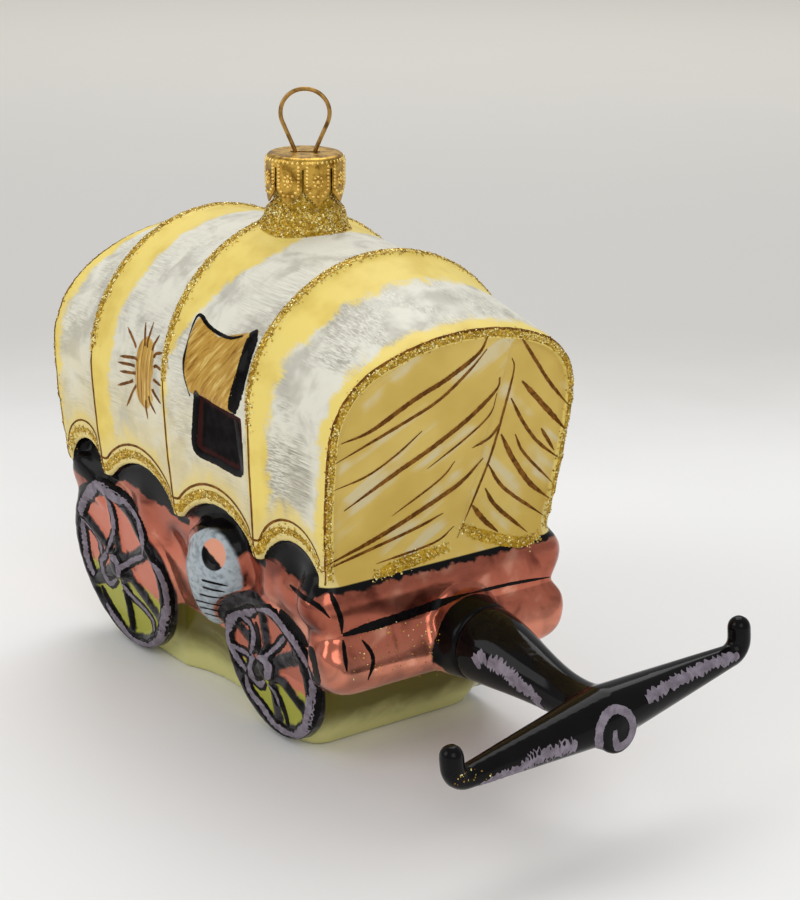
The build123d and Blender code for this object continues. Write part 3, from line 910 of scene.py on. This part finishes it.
def metal_shader(name, deep, bright, roughness):
    """Stamped brass, darker and brighter in uneven patches and a little scratched."""
    s = Shader(name)
    tarnish = s.noise(s.scaled(0.5, 0.5, 0.5), 4.0, 0.65)
    scratch = s.noise(s.scaled(3.0, 3.0, 0.6), 2.0, 0.5)
    s.set("Base Color", s.mix(s.ramp(tarnish, 0.3, 0.6), deep, bright))
    s.set("Roughness", s.ramp(scratch, 0.3, 0.7, roughness, roughness + 0.16))
    s.set("Metallic", 1.0)
    s.bump(scratch, 0.05, 0.25)
    return s


# Strokes and grains that lie on the glass

# Brush strokes: height of each paint above the glass, gap that ends a stroke, how fast it swells from its
# start and its end, and height of a ribbon's edges as a share of its middle's
PAINT_LIFT = {"brown": 0.1, "black": 0.1, "lilac": 0.18, "gold": 0.08}
DRAWBAR_LIFT = 0.12
STROKE_BREAK = 2.2
START_SWELL = 3.5
END_SWELL = 3.0
EDGE_LIFT = 0.5
PIXEL_STEP = 1.5

# Widths and places of the lines that follow bows and hem
SPIKE_WIDTH = 0.55
SPIKE_INWARD = 0.2
SEAM_WIDTH = 0.5
SEAM_TOP = 30.0
HEM_LINE_WIDTH = 0.45
HEM_LINE_RISE = 3.7
RIM_LINE_AHEAD = 0.3
GOLD_WIDTH = 1.5
BOW_GROW = 0.4
BOW_GOLD_LOW = 58.0
BOW_GOLD_WIDTH = 1.9
HEM_GOLD_RISE = 1.9
RIM_GOLD_LOW = 36.0
RIM_GOLD_GROW = -0.7
CURTAIN_GOLD_WIDTH = 2.0
BLACK_BESIDE_LILAC = 1.2
WINDOW_EDGE_WIDTH = 1.3
SWIRL_WIDTH = 1.5

# Glitter flakes: sizes, corners, unevenness, tilt, height of centre and crown as shares of the size, and
# spread of a band. Columns of a band: width, grains a millimetre
GRAIN = (0.12, 0.25)
SPECK = (0.08, 0.18)
SKIRT_GRAIN = (0.14, 0.28)
SKIRT_GRAINS = 5600
SKIRT_HEIGHTS = (82.5, 90.0)
FLAKE_CORNERS = 5
FLAKE_UNEVEN = (0.8, 1.1)
FLAKE_TILT = 0.42
FLAKE_LIFT = 0.3
FLAKE_CROWN = 0.35
BAND_SPREAD = 0.27
BOW_GLITTER = (1.9, 34.0)
HEM_GLITTER = (1.4, 26.0)
RIM_GLITTER = (1.4, 24.0)
CURTAIN_GLITTER = (1.8, 30.0)


class Surface:
    """The painted surface, for finding where strokes and grains lie."""

    def __init__(self, points, faces):
        self.tree = BVHTree.FromPolygons([tuple(p) for p in points], faces)

    def seen_at(self, pixel):
        """The point of the surface that a pixel of the photograph shows."""
        return self.tree.ray_cast(EYE, pixel_ray(*pixel))[0]

    def seen_along(self, pixels):
        """Points of the surface along a curve through pixels of the photograph."""
        seen = [self.seen_at(p) for p in smooth_path(pixels, PIXEL_STEP)]
        return [p for p in seen if p is not None]

    def lay(self, point):
        """Nearest place on the surface, and its outward direction."""
        return self.tree.find_nearest(point)[:2]


def smooth_path(points, step):
    """Points along a smooth curve through the given ones, about a step apart."""
    points = [np.array(p, float) for p in points]
    ends = [2 * points[0] - points[1]] + points + [2 * points[-1] - points[-2]]
    path = []
    for before, start, end, after in zip(ends, ends[1:], ends[2:], ends[3:]):
        count = max(2, int(np.linalg.norm(end - start) / step))
        for k in range(count):
            t = k / count
            bend = (2 * before - 5 * start + 4 * end - after) * t * t
            twist = (3 * start - before - 3 * end + after) * t**3
            path.append((2 * start + (end - before) * t + bend + twist) / 2)
    path.append(points[-1])
    return path


class Strokes:
    """Flat brush strokes gathered in one mesh."""

    def __init__(self, surface, lift):
        self.surface = surface
        self.lift = lift
        self.points = []
        self.faces = []

    def add(self, path, width, thin_start=0.35, thin_end=0.2, rough=0.12):
        """A stroke along points near the surface, swelling in the middle, parted where a step breaks it."""
        places = [self.surface.lay(p) for p in path]
        start = 0
        for k in range(1, len(places) + 1):
            if k == len(places) or (places[k][0] - places[k - 1][0]).length > STROKE_BREAK:
                self.ribbon(places[start:k], width, thin_start, thin_end, rough)
                start = k

    def ribbon(self, places, width, thin_start, thin_end, rough):
        """An unbroken stretch of a stroke, three points wide."""
        if len(places) < 3:
            return
        first = len(self.points)
        for k, (place, normal) in enumerate(places):
            step = places[min(k + 1, len(places) - 1)][0] - places[max(k - 1, 0)][0]
            side = normal.cross(step)
            if side.length < 1e-6:
                side = normal.orthogonal()
            along = k / (len(places) - 1)
            swell = min(1.0, thin_start + START_SWELL * along, thin_end + END_SWELL * (1 - along))
            half = side.normalized() * (width * swell * 0.5)
            for offset in (-1.0, 0.0, 1.0):
                reach = offset * DICE.uniform(1 - rough, 1 + rough)
                spot, out = self.surface.lay(place + half * reach)
                rise = self.lift if offset == 0.0 else self.lift * EDGE_LIFT
                self.points.append(spot + out * rise)
        for k in range(len(places) - 1):
            a = first + 3 * k
            self.faces.append((a, a + 1, a + 4, a + 3))
            self.faces.append((a + 1, a + 2, a + 5, a + 4))

    def pixels(self, pixels, width, copy=None, **brush):
        """A stroke seen along pixels of the photograph, and a copy elsewhere on the wagon."""
        path = self.surface.seen_along(pixels)
        self.add(path, width, **brush)
        if copy:
            self.add([copy(p) for p in path], width, **brush)


class Grains:
    """Flakes of glitter gathered in one mesh."""

    def __init__(self, surface):
        self.surface = surface
        self.points = []
        self.faces = []
        self.tones = []

    def add(self, near, size):
        """One tilted flake on the surface near a place."""
        place, normal = self.surface.lay(near)
        tilt = Vector((DICE.gauss(0, 1), DICE.gauss(0, 1), DICE.gauss(0, 1)))
        normal = (normal + tilt * FLAKE_TILT).normalized()
        across = normal.orthogonal().normalized()
        other = normal.cross(across)
        centre = place + normal * size * FLAKE_LIFT
        start = DICE.uniform(0, math.pi)
        first = len(self.points)
        tone = DICE.random()
        self.points.append(centre + normal * size * FLAKE_CROWN)
        self.tones.append(tone)
        for k in range(FLAKE_CORNERS):
            a = start + k * math.tau / FLAKE_CORNERS
            corner = across * math.cos(a) + other * math.sin(a)
            self.points.append(centre + corner * size * DICE.uniform(*FLAKE_UNEVEN))
            self.tones.append(tone)
        for k in range(FLAKE_CORNERS):
            self.faces.append((first, first + 1 + k, first + 1 + (k + 1) % FLAKE_CORNERS))

    def along(self, path, width, per_mm):
        """Grains strewn along a path, within a width."""
        for start, end in zip(path, path[1:]):
            step = end - start
            count = step.length * per_mm
            number = int(count) + (DICE.random() < count % 1)
            for _ in range(number):
                drift = Vector([DICE.gauss(0, width * BAND_SPREAD) for _ in range(3)])
                self.add(start + step * DICE.random() + drift, DICE.uniform(*GRAIN))


def other_side(point):
    """The mirror image on the wagon's other side."""
    return Vector((point.x, -point.y, point.z))


def to_rear(point):
    """The same place on the rear curtain."""
    ahead, across, up = in_bow_plane(np.array([point]), BOWS[-1])
    wider = BOWS[0][2] / BOWS[-1][2]
    return bow_point(BOWS[0], across[0] * wider, up[0], -ahead[0])


# Lilac strokes on the wheels, in pixels. Columns: width in millimetres, points
WHEEL_STROKES = [
    (1.9, [(98, 482), (88, 495), (82, 508), (82, 515)]),
    (2.2, [(97, 484), (111, 495), (126, 502)]),
    (0.9, [(124, 501), (134, 512), (140, 525), (142, 540), (143, 557)]),
    (1.1, [(149, 560), (160, 575), (166, 594), (167, 609)]),
    (2.4, [(167, 606), (164, 626), (160, 640), (150, 646)]),
    (1.1, [(152, 646), (138, 642), (128, 634), (117, 620), (107, 603)]),
    (1.4, [(83, 518), (86, 540), (88, 556), (95, 575)]),
    (1.0, [(100, 488), (108, 502), (113, 518), (113, 535), (107, 552)]),
    (1.0, [(83, 519), (93, 530), (100, 542), (102, 554)]),
    (1.0, [(143, 556), (134, 560), (124, 566), (117, 569)]),
    (0.9, [(122, 584), (134, 598), (145, 609), (153, 620), (155, 632)]),
    (1.3, [(107, 553), (102, 562), (105, 575), (111, 583), (118, 576), (116, 562), (109, 555)]),
    (1.8, [(227, 630), (233, 618), (244, 612), (256, 609)]),
    (1.2, [(254, 609), (269, 612), (277, 620), (286, 632), (296, 645), (307, 664), (312, 683), (312, 698)]),
    (2.4, [(311, 697), (308, 714), (305, 729), (295, 737)]),
    (1.1, [(297, 736), (284, 731), (273, 722), (263, 706), (251, 691), (246, 674)]),
    (1.2, [(227, 630), (229, 643), (237, 656), (247, 670)]),
    (1.1, [(240, 615), (250, 623), (254, 636), (251, 653)]),
    (1.0, [(229, 644), (242, 650), (250, 655)]),
    (0.9, [(285, 637), (277, 647), (269, 654), (262, 658)]),
    (0.6, [(269, 685), (276, 695), (280, 706)]),
    (1.6, [(255, 656), (250, 667), (254, 679), (262, 683), (268, 672), (264, 660), (256, 656)]),
]
# Black bands outside the wheels and along their lower spokes, as above
WHEEL_SHADES = [
    (1.6, [(97, 478), (110, 486), (126, 497), (138, 511)]),
    (1.6, [(144, 545), (150, 556), (160, 569), (169, 590), (171, 612), (166, 636)]),
    (2.0, [(280, 610), (298, 631), (312, 655), (317, 680), (317, 705), (310, 730)]),
    (1.5, [(123, 590), (130, 606), (133, 630)]),
    (1.2, [(102, 585), (113, 606), (124, 624)]),
    (1.4, [(277, 692), (284, 708), (289, 726)]),
    (1.3, [(256, 622), (259, 640), (258, 654)]),
    (1.4, [(276, 652), (268, 660), (270, 672)]),
]

# Jagged lilac patches on the drawbar and the swirl on its disc, as above
DRAWBAR_STROKES = [
    (2.2, [(474, 662), (480, 658), (486, 656)]),
    (2.3, [(488, 661), (504, 670), (517, 683), (532, 694), (541, 708)]),
    (3.0, [(577, 746), (560, 751), (538, 759), (521, 769)]),
    (1.8, [(522, 768), (502, 776), (480, 785)]),
    (1.9, [(647, 700), (664, 688), (684, 677), (703, 668), (723, 660), (739, 656)]),
]
DISC_SWIRL = [
    (603, 759), (599, 745), (600, 728), (607, 714), (617, 709), (628, 714),
    (633, 726), (629, 740), (618, 747), (615, 738), (615, 730),
]

# Strokes of the curtain, in pixels of the photograph. Columns: width in millimetres, points
CURTAIN_STROKES = [
    (0.9, [(488, 336), (478, 354), (447, 379), (414, 400), (371, 431), (341, 444)]),
    (0.6, [(487, 349), (469, 371), (439, 400), (402, 424), (335, 464)]),
    (0.4, [(422, 431), (396, 455), (367, 476), (333, 491)]),
    (0.9, [(500, 377), (496, 390), (469, 418), (433, 447), (396, 473), (344, 511)]),
    (0.4, [(497, 393), (490, 414), (467, 437), (427, 469)]),
    (0.6, [(501, 422), (490, 437), (472, 448)]),
    (0.4, [(455, 461), (439, 480), (392, 516)]),
    (0.9, [(483, 458), (463, 480), (439, 498), (382, 535), (324, 567)]),
    (0.6, [(443, 513), (414, 529), (345, 561), (322, 572)]),
    (0.4, [(454, 526), (433, 543), (376, 564)]),
    (0.6, [(521, 336), (535, 359), (551, 384), (574, 411)]),
    (0.9, [(522, 381), (539, 400), (568, 432)]),
    (0.6, [(511, 398), (522, 420), (537, 441), (559, 458)]),
    (0.6, [(541, 428), (554, 450)]),
    (0.5, [(515, 434), (524, 453), (552, 482)]),
    (0.9, [(501, 434), (512, 457), (529, 482), (549, 498)]),
    (0.6, [(488, 464), (504, 488), (543, 515)]),
    (0.7, [(485, 488), (496, 506), (527, 532)]),
    (0.9, [(472, 505), (484, 520), (498, 532)]),
    (0.5, [(512, 358), (514, 369), (506, 402), (492, 451), (478, 488), (457, 538)]),
]

# Spikes round the sewn patch, in pixels, and the patch's middle
PATCH_PIXEL = (146, 373)
PATCH_SPIKES = [
    [(146, 322), (145, 339)],
    [(154, 322), (148, 341)],
    [(160, 335), (154, 345)],
    [(128, 327), (134, 341)],
    [(120, 356), (135, 358)],
    [(118, 362), (132, 365)],
    [(120, 371), (133, 373)],
    [(118, 385), (130, 382)],
    [(127, 406), (134, 389)],
    [(163, 353), (156, 354)],
    [(162, 371), (156, 366)],
    [(161, 386), (155, 381)],
    [(161, 404), (154, 393)],
    [(156, 414), (150, 402)],
    [(148, 419), (146, 407)],
]

# Black strokes, in pixels. Columns: width in millimetres, points
FLAP_OUTLINE = [
    (
        0.7,
        [(190, 396), (184, 376), (184, 358), (190, 334), (199, 315)]
        + [(208, 325), (218, 333), (231, 338), (243, 336)],
    ),
    (2.4, [(254, 331), (248, 357), (241, 384), (232, 412)]),
    (1.7, [(249, 338), (244, 357), (237, 384), (230, 410)]),
]
BOX_LINES = [
    (1.7, [(343, 635), (400, 617), (440, 603), (470, 593)]),
    (0.6, [(468, 594), (510, 584), (550, 577)]),
    (0.7, [(343, 640), (345, 656), (347, 672)]),
    (0.7, [(362, 640), (371, 652), (373, 664), (368, 680)]),
    (0.9, [(330, 592), (336, 606), (341, 620), (342, 634)]),
    (0.8, [(290, 585), (302, 596), (318, 606), (330, 618)]),
]
BUCKET_LINES = [
    (0.5, [(202, 580), (214, 583), (228, 586)]),
    (0.5, [(203, 587), (214, 590), (226, 592)]),
    (0.45, [(200, 594), (212, 597), (225, 598)]),
    (0.4, [(196, 600), (208, 603), (222, 606)]),
    (0.4, [(200, 607), (210, 609), (221, 612)]),
    (0.35, [(205, 613), (212, 615), (220, 617)]),
]
WINDOW_EDGE = [(197, 392), (195, 420), (196, 449), (218, 462), (241, 473), (240, 448), (236, 420)]
CURTAIN_HEM_GLITTER = [
    [(375, 576), (410, 561), (447, 548)],
    [(461, 526), (480, 535), (520, 542), (539, 535)],
]
# Stray grains. Columns: low and high corner of the pixels they lie in, number
BOX_SPECKS = ((350, 620), (440, 680), 110)
TIP_SPECKS = ((454, 768), (502, 792), 34)


def hem_path(side, rise):
    """Points along the scalloped hem of one side, a little above its edge."""
    xs = np.arange(BOWS[0][0] + 0.8, BOWS[-1][0] - 0.8, 0.4)
    return [Vector((x, side * y, z + rise)) for x, y, z in zip(xs, hem_half_width(xs), hem_height(xs))]


def bow_path(bow, low, ahead=0.0, grow=0.0):
    """Points over a bow, from one side to the other, above a height."""
    path = [bow_point(bow, y, v, ahead) for y, v in bow_outline(bow, grow)]
    return [p for p in path if p.z > low]


def paint_strokes(surface):
    """All brushed lines on the body."""
    paints = {colour: Strokes(surface, lift) for colour, lift in PAINT_LIFT.items()}
    brown, black, lilac, gold = paints.values()
    for width, pixels in CURTAIN_STROKES:
        brown.pixels(pixels, width, copy=to_rear)
    for pixels in PATCH_SPIKES:
        inner = tuple((1 - SPIKE_INWARD) * p + SPIKE_INWARD * c for p, c in zip(pixels[-1], PATCH_PIXEL))
        brown.pixels(pixels + [inner], SPIKE_WIDTH, copy=other_side, thin_start=0.2, thin_end=1.0)
    for bow in BOWS[1:-1]:
        legs = [bow_point(bow, y, v) for y, v in bow_outline(bow, BOW_GROW) if v < SEAM_TOP]
        for side in (-1, 1):
            brown.add([p for p in legs if p.y * side > 0], SEAM_WIDTH, 0.6, 0.6)
        gold.add(bow_path(bow, BOW_GOLD_LOW, grow=BOW_GROW), BOW_GOLD_WIDTH, 0.4, 0.4)
    for side in (-1, 1):
        brown.add(hem_path(side, HEM_LINE_RISE), HEM_LINE_WIDTH, 0.6, 0.6)
        gold.add(hem_path(side, HEM_GOLD_RISE), GOLD_WIDTH, 0.4, 0.4)
    for bow, ahead in ((BOWS[0], RIM_LINE_AHEAD), (BOWS[-1], -RIM_LINE_AHEAD)):
        brown.add(bow_path(bow, 0.0, ahead=ahead), SEAM_WIDTH, 0.6, 0.6)
        gold.add(bow_path(bow, RIM_GOLD_LOW, grow=RIM_GOLD_GROW), GOLD_WIDTH, 0.4, 0.4)
    for pixels in CURTAIN_HEM_GLITTER:
        gold.pixels(pixels, CURTAIN_GOLD_WIDTH, copy=to_rear)
    for width, pixels in FLAP_OUTLINE:
        black.pixels(pixels, width, copy=other_side, thin_start=0.6, thin_end=0.6)
    black.pixels(WINDOW_EDGE, WINDOW_EDGE_WIDTH, copy=other_side, thin_start=0.8, thin_end=0.8)
    for width, pixels in BOX_LINES:
        black.pixels(pixels, width)
    for width, pixels in BUCKET_LINES:
        black.pixels(pixels, width, copy=other_side, thin_start=0.8)
    for width, pixels in WHEEL_SHADES:
        black.pixels(pixels, width, copy=other_side, thin_start=0.5, thin_end=0.4)
    for width, pixels in WHEEL_STROKES:
        black.pixels(pixels, width + BLACK_BESIDE_LILAC, copy=other_side, thin_start=0.7, thin_end=0.7)
        lilac.pixels(pixels, width, copy=other_side, thin_start=0.6, thin_end=0.5, rough=0.25)
    return paints


def strew(grains, surface, low, high, number):
    """Stray grains in a box of the photograph's pixels."""
    for _ in range(number):
        spot = surface.seen_at((DICE.uniform(low[0], high[0]), DICE.uniform(low[1], high[1])))
        if spot is not None:
            grains.add(spot, DICE.uniform(*SPECK))


def strew_glitter(surface):
    """Gold glitter on bows, hems, rims, neck and box."""
    grains = Grains(surface)
    for bow in BOWS[1:-1]:
        grains.along(bow_path(bow, BOW_GOLD_LOW, grow=BOW_GROW), *BOW_GLITTER)
    for side in (-1, 1):
        grains.along(hem_path(side, HEM_GOLD_RISE), *HEM_GLITTER)
    for bow in (BOWS[0], BOWS[-1]):
        grains.along(bow_path(bow, RIM_GOLD_LOW, grow=RIM_GOLD_GROW), *RIM_GLITTER)
    for pixels in CURTAIN_HEM_GLITTER:
        path = surface.seen_along(pixels)
        grains.along(path, *CURTAIN_GLITTER)
        grains.along([to_rear(p) for p in path], *CURTAIN_GLITTER)
    strew(grains, surface, *BOX_SPECKS)
    for _ in range(SKIRT_GRAINS):
        turn = DICE.uniform(0, math.tau)
        z = DICE.uniform(*SKIRT_HEIGHTS)
        reach = DICE.uniform(NECK_R, NECK_SKIRT_R)
        spot = Vector((NECK_X + reach * math.cos(turn), reach * math.sin(turn), z))
        grains.add(spot, DICE.uniform(*SKIRT_GRAIN))
    return grains


def shifts(points, forward, out, up):
    """A shift forward, outwards and up for each point, outwards on its own side of the wagon."""
    return np.array((forward, 0, up)) + np.sign(points[:, 1])[:, None] * np.array((0, out, 0))


def bucket_lifted(points):
    """The points with the bucket's flat relief rounded out into a pail."""
    reach, ahead = bucket_round(points)
    surface = BUCKET_BULGE * np.sqrt(np.maximum(1 - reach**2, 0)) - BUCKET_SUNK
    free = (reach < 1) & (ahead > -BUCKET_BEHIND) & ~on_wheel(points)
    lift = np.where(free, np.maximum(surface - ahead, 0), 0)
    return points + lift[:, None] * shifts(points, 0, math.cos(BUCKET_TILT), -math.sin(BUCKET_TILT))


def worked(points, faces):
    """The points with bulges, hollows and buckets worked out of both sides, and the mouth's middle."""
    surface = Surface(points, faces)
    near_side = points * (1, 0, 1) - np.abs(points) * (0, 1, 0)
    below_hem = np.clip(hem_height(points[:, 0]) - points[:, 2], 0, 1)
    points = points.copy()
    for pixel, reach, forward, out, up in BULGES:
        away = near_side - np.array(surface.seen_at(pixel))
        share = np.exp(-(away**2).sum(1) / reach**2) * below_hem
        points += share[:, None] * shifts(points, forward, out, up)
    points = bucket_lifted(points)
    mouth = Surface(points, faces).seen_at(MOUTH_PIXEL)
    inside = MOUTH_R - np.linalg.norm(from_mouth(points, mouth), axis=1)
    sunk = np.clip(inside / MOUTH_LIP, 0, 1) * MOUTH_DEPTH
    points -= sunk[:, None] * shifts(points, *MOUTH_INWARD, 0)
    return points, mouth


def build_body():
    """Cover, box and windows of painted glass, with their strokes and glitter."""
    points, faces = softened(outer_skin("glass_body"), BODY_VOXEL, BODY_ROUNDS)
    points, mouth = worked(points, faces)
    mesh = bpy.data.meshes.new("worked_body")
    mesh.from_pydata([tuple(p) for p in points], [], faces)
    points, faces = softened(mesh, BODY_VOXEL, WORKED_ROUNDS)
    centres = np.array([points[list(f)].mean(0) for f in faces])
    upper = centres[:, 2] > hem_height(centres[:, 0]) - HEM_SPLIT
    opening = polygon_depth(centres[:, 0], centres[:, 2], WINDOW) > 0
    opening &= polygon_depth(centres[:, 0], centres[:, 2], FLAP) < 0
    opening &= np.abs(centres[:, 1]) > SIDE_FROM
    shader = body_shader()
    shares = (
        ("glass_cover", upper & ~opening, shader),
        ("glass_wagon_box", ~upper, shader),
        ("dark_windows", opening, window_shader()),
    )
    for name, chosen, paint in shares:
        some_points, some_faces = used_part(points, faces, chosen)
        made = piece(name, some_points, some_faces, paint, "ornament")
        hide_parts("glass_body")
        give_attributes(made, paint_attributes(some_points, mouth))
    surface = Surface(points, faces)

    paints = {
        "brown": line_shader("brown_line_paint", BROWN_LINE, BROWN_PALE, 0.1, 0.4),
        "black": line_shader("black_line_paint", BLACK, SOOT, 0.0, 0.14),
        "lilac": line_shader("lilac_line_paint", LILAC_DEEP, LILAC, 0.0, 0.4),
        "gold": line_shader("gold_line_paint", GLITTER_DEEP, GLITTER_GOLD, 0.3, 0.5),
    }
    for colour, strokes in paint_strokes(surface).items():
        name = colour + "_brush_lines"
        piece(name, strokes.points, strokes.faces, paints[colour], "ornament")
    show_grains("gold_glitter", strew_glitter(surface))


def show_grains(name, grains):
    """A piece made of glitter flakes."""
    made = piece(name, grains.points, grains.faces, glitter_shader(), "ornament")
    give_attributes(made, {"tone": grains.tones})


def build_drawbar():
    """Black glass drawbar with its lilac patches and a few grains of glitter."""
    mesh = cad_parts["glass_drawbar"].data.copy()
    mesh.transform(Matrix.Scale(1 / MM, 4))
    points, faces = softened(mesh, DRAWBAR_VOXEL, DRAWBAR_ROUNDS)
    made = piece("black_glass_drawbar", points, faces, drawbar_shader(), "ornament")
    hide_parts("glass_drawbar")
    surface = Surface(points, faces)
    patches = Strokes(surface, DRAWBAR_LIFT)
    for width, pixels in DRAWBAR_STROKES:
        patches.pixels(pixels, width, thin_start=0.8, thin_end=0.6, rough=0.5)
    patches.pixels(DISC_SWIRL, SWIRL_WIDTH, thin_start=0.8, thin_end=0.5)
    paint = line_shader("drawbar_lilac_paint", LILAC_DEEP, LILAC, 0.0, 0.35)
    piece("drawbar_lilac_patches", patches.points, patches.faces, paint, "ornament")
    specks = Grains(surface)
    strew(specks, surface, *TIP_SPECKS)
    show_grains("tip_glitter", specks)


def build_cap():
    """Brass on the cap and the wire, and the cap's stamped beads."""
    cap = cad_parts["hanger_cap"]
    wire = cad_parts["hanger_wire"]
    brass = metal_shader("cap_brass", CAP_DEEP, CAP_GOLD, 0.3)
    cap.data.materials.clear()
    cap.data.materials.append(brass.material)
    wire.data.materials.clear()
    wire.data.materials.append(metal_shader("wire_brass", WIRE_DEEP, WIRE_BRASS, 0.3).material)

    beads = bmesh.new()

    def bead(turn, z, size, out=CAP_R):
        place = Matrix.Translation((NECK_X + out * math.cos(turn), out * math.sin(turn), z))
        bmesh.ops.create_icosphere(beads, subdivisions=2, radius=size, matrix=place)

    pitch = math.tau / PETALS
    for k in range(PETALS):
        middle = HANGER_ANGLE + math.pi / 2 + pitch * (k + 0.5)
        for row in range(ROWS):
            z = ROW_TOP - row * ROW_STEP
            share = ROW_SHARE - ROW_NARROWING * max(0, row - ROWS_STRAIGHT + 1)
            for side in (-1, 1):
                bead(middle + side * pitch * share, z, ROW_BEAD_R)
        for turn in range(ROSETTE_BEADS):
            a = turn * math.tau / ROSETTE_BEADS
            across = ROSETTE_ACROSS / CAP_R * math.cos(a)
            bead(middle + across, ROSETTE_Z + ROSETTE_UP * math.sin(a), ROSETTE_BEAD_R)
        bead(middle, ROSETTE_Z, ROSETTE_MIDDLE_R)
        bead(middle, TIP_BEAD_Z, TIP_BEAD_R)
    for k in range(CROWN_BEADS):
        bead(k * math.tau / CROWN_BEADS, CROWN_Z, CROWN_BEAD_R, CAP_R - CROWN_INSET)
    mesh = bpy.data.meshes.new("cap_beads")
    bmesh.ops.transform(beads, matrix=Matrix.Scale(MM, 4), verts=beads.verts)
    beads.to_mesh(mesh)
    beads.free()
    mesh.polygons.foreach_set("use_smooth", [True] * len(mesh.polygons))
    mesh.materials.append(metal_shader("bead_brass", CAP_GOLD, BEAD_GOLD, 0.25).material)
    made = new_object("cap_beads", mesh)
    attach(made, "cap")


# Stage

FLOOR_R = 6.0
SKY = (0.92, 0.93, 0.95, 1.0)
SKY_STRENGTH = 0.5
LAMP_AIM = Vector((0.015, 0, 0.045))
# Columns: name, place in metres, size in metres, power in watts
LAMPS = [
    ("key_softbox", (-0.3, -1.0, 0.65), 0.7, 3.5),
    ("front_softbox", (1.1, -0.3, 0.75), 0.8, 3.8),
    ("top_softbox", (-0.4, 0.4, 1.0), 0.8, 5.8),
]


def build_stage():
    """Pale floor with a band of painted shade behind the wagon, even sky and three soft lamps."""
    floor_mesh = bpy.data.meshes.new("floor")
    disc = bmesh.new()
    bmesh.ops.create_circle(disc, cap_ends=True, segments=96, radius=FLOOR_R)
    disc.to_mesh(floor_mesh)
    disc.free()
    s = Shader("pale_floor")
    x, y, z = s.split()
    beyond = s.add(s.times(x, -BACK.x), s.times(y, -BACK.y))
    grain = s.noise(s.scaled(0.02, 0.02, 0.02), 3.0, 0.5)
    beyond = s.add(beyond, s.times(grain, 40.0))
    # Painted shade: the floor darkens in a band behind the wagon, where less light reaches
    near = s.mix(s.ramp(beyond, 90.0, 250.0), FLOOR_NEAR, FLOOR_SHADE)
    s.set("Base Color", s.mix(s.ramp(beyond, 330.0, 900.0), near, FLOOR_FAR))
    s.set("Roughness", 0.6)
    s.set("Specular IOR Level", 0.2)
    floor_mesh.materials.append(s.material)
    floor = new_object("floor", floor_mesh)

    world = bpy.data.worlds.new("studio")
    world.use_nodes = True
    bpy.context.scene.world = world
    sky = world.node_tree.nodes["Background"]
    sky.inputs["Color"].default_value = SKY
    sky.inputs["Strength"].default_value = SKY_STRENGTH

    for name, at, size, power in LAMPS:
        light = bpy.data.lights.new(name, "AREA")
        light.size = size
        light.energy = power
        lamp = bpy.data.objects.new(name, light)
        lamp.location = at
        lamp.rotation_euler = (LAMP_AIM - Vector(at)).to_track_quat("-Z", "Y").to_euler()
        bpy.context.scene.collection.objects.link(lamp)


bpy.context.scene.view_settings.view_transform = "Standard"
add_camera()
build_body()
build_drawbar()
build_cap()
build_stage()
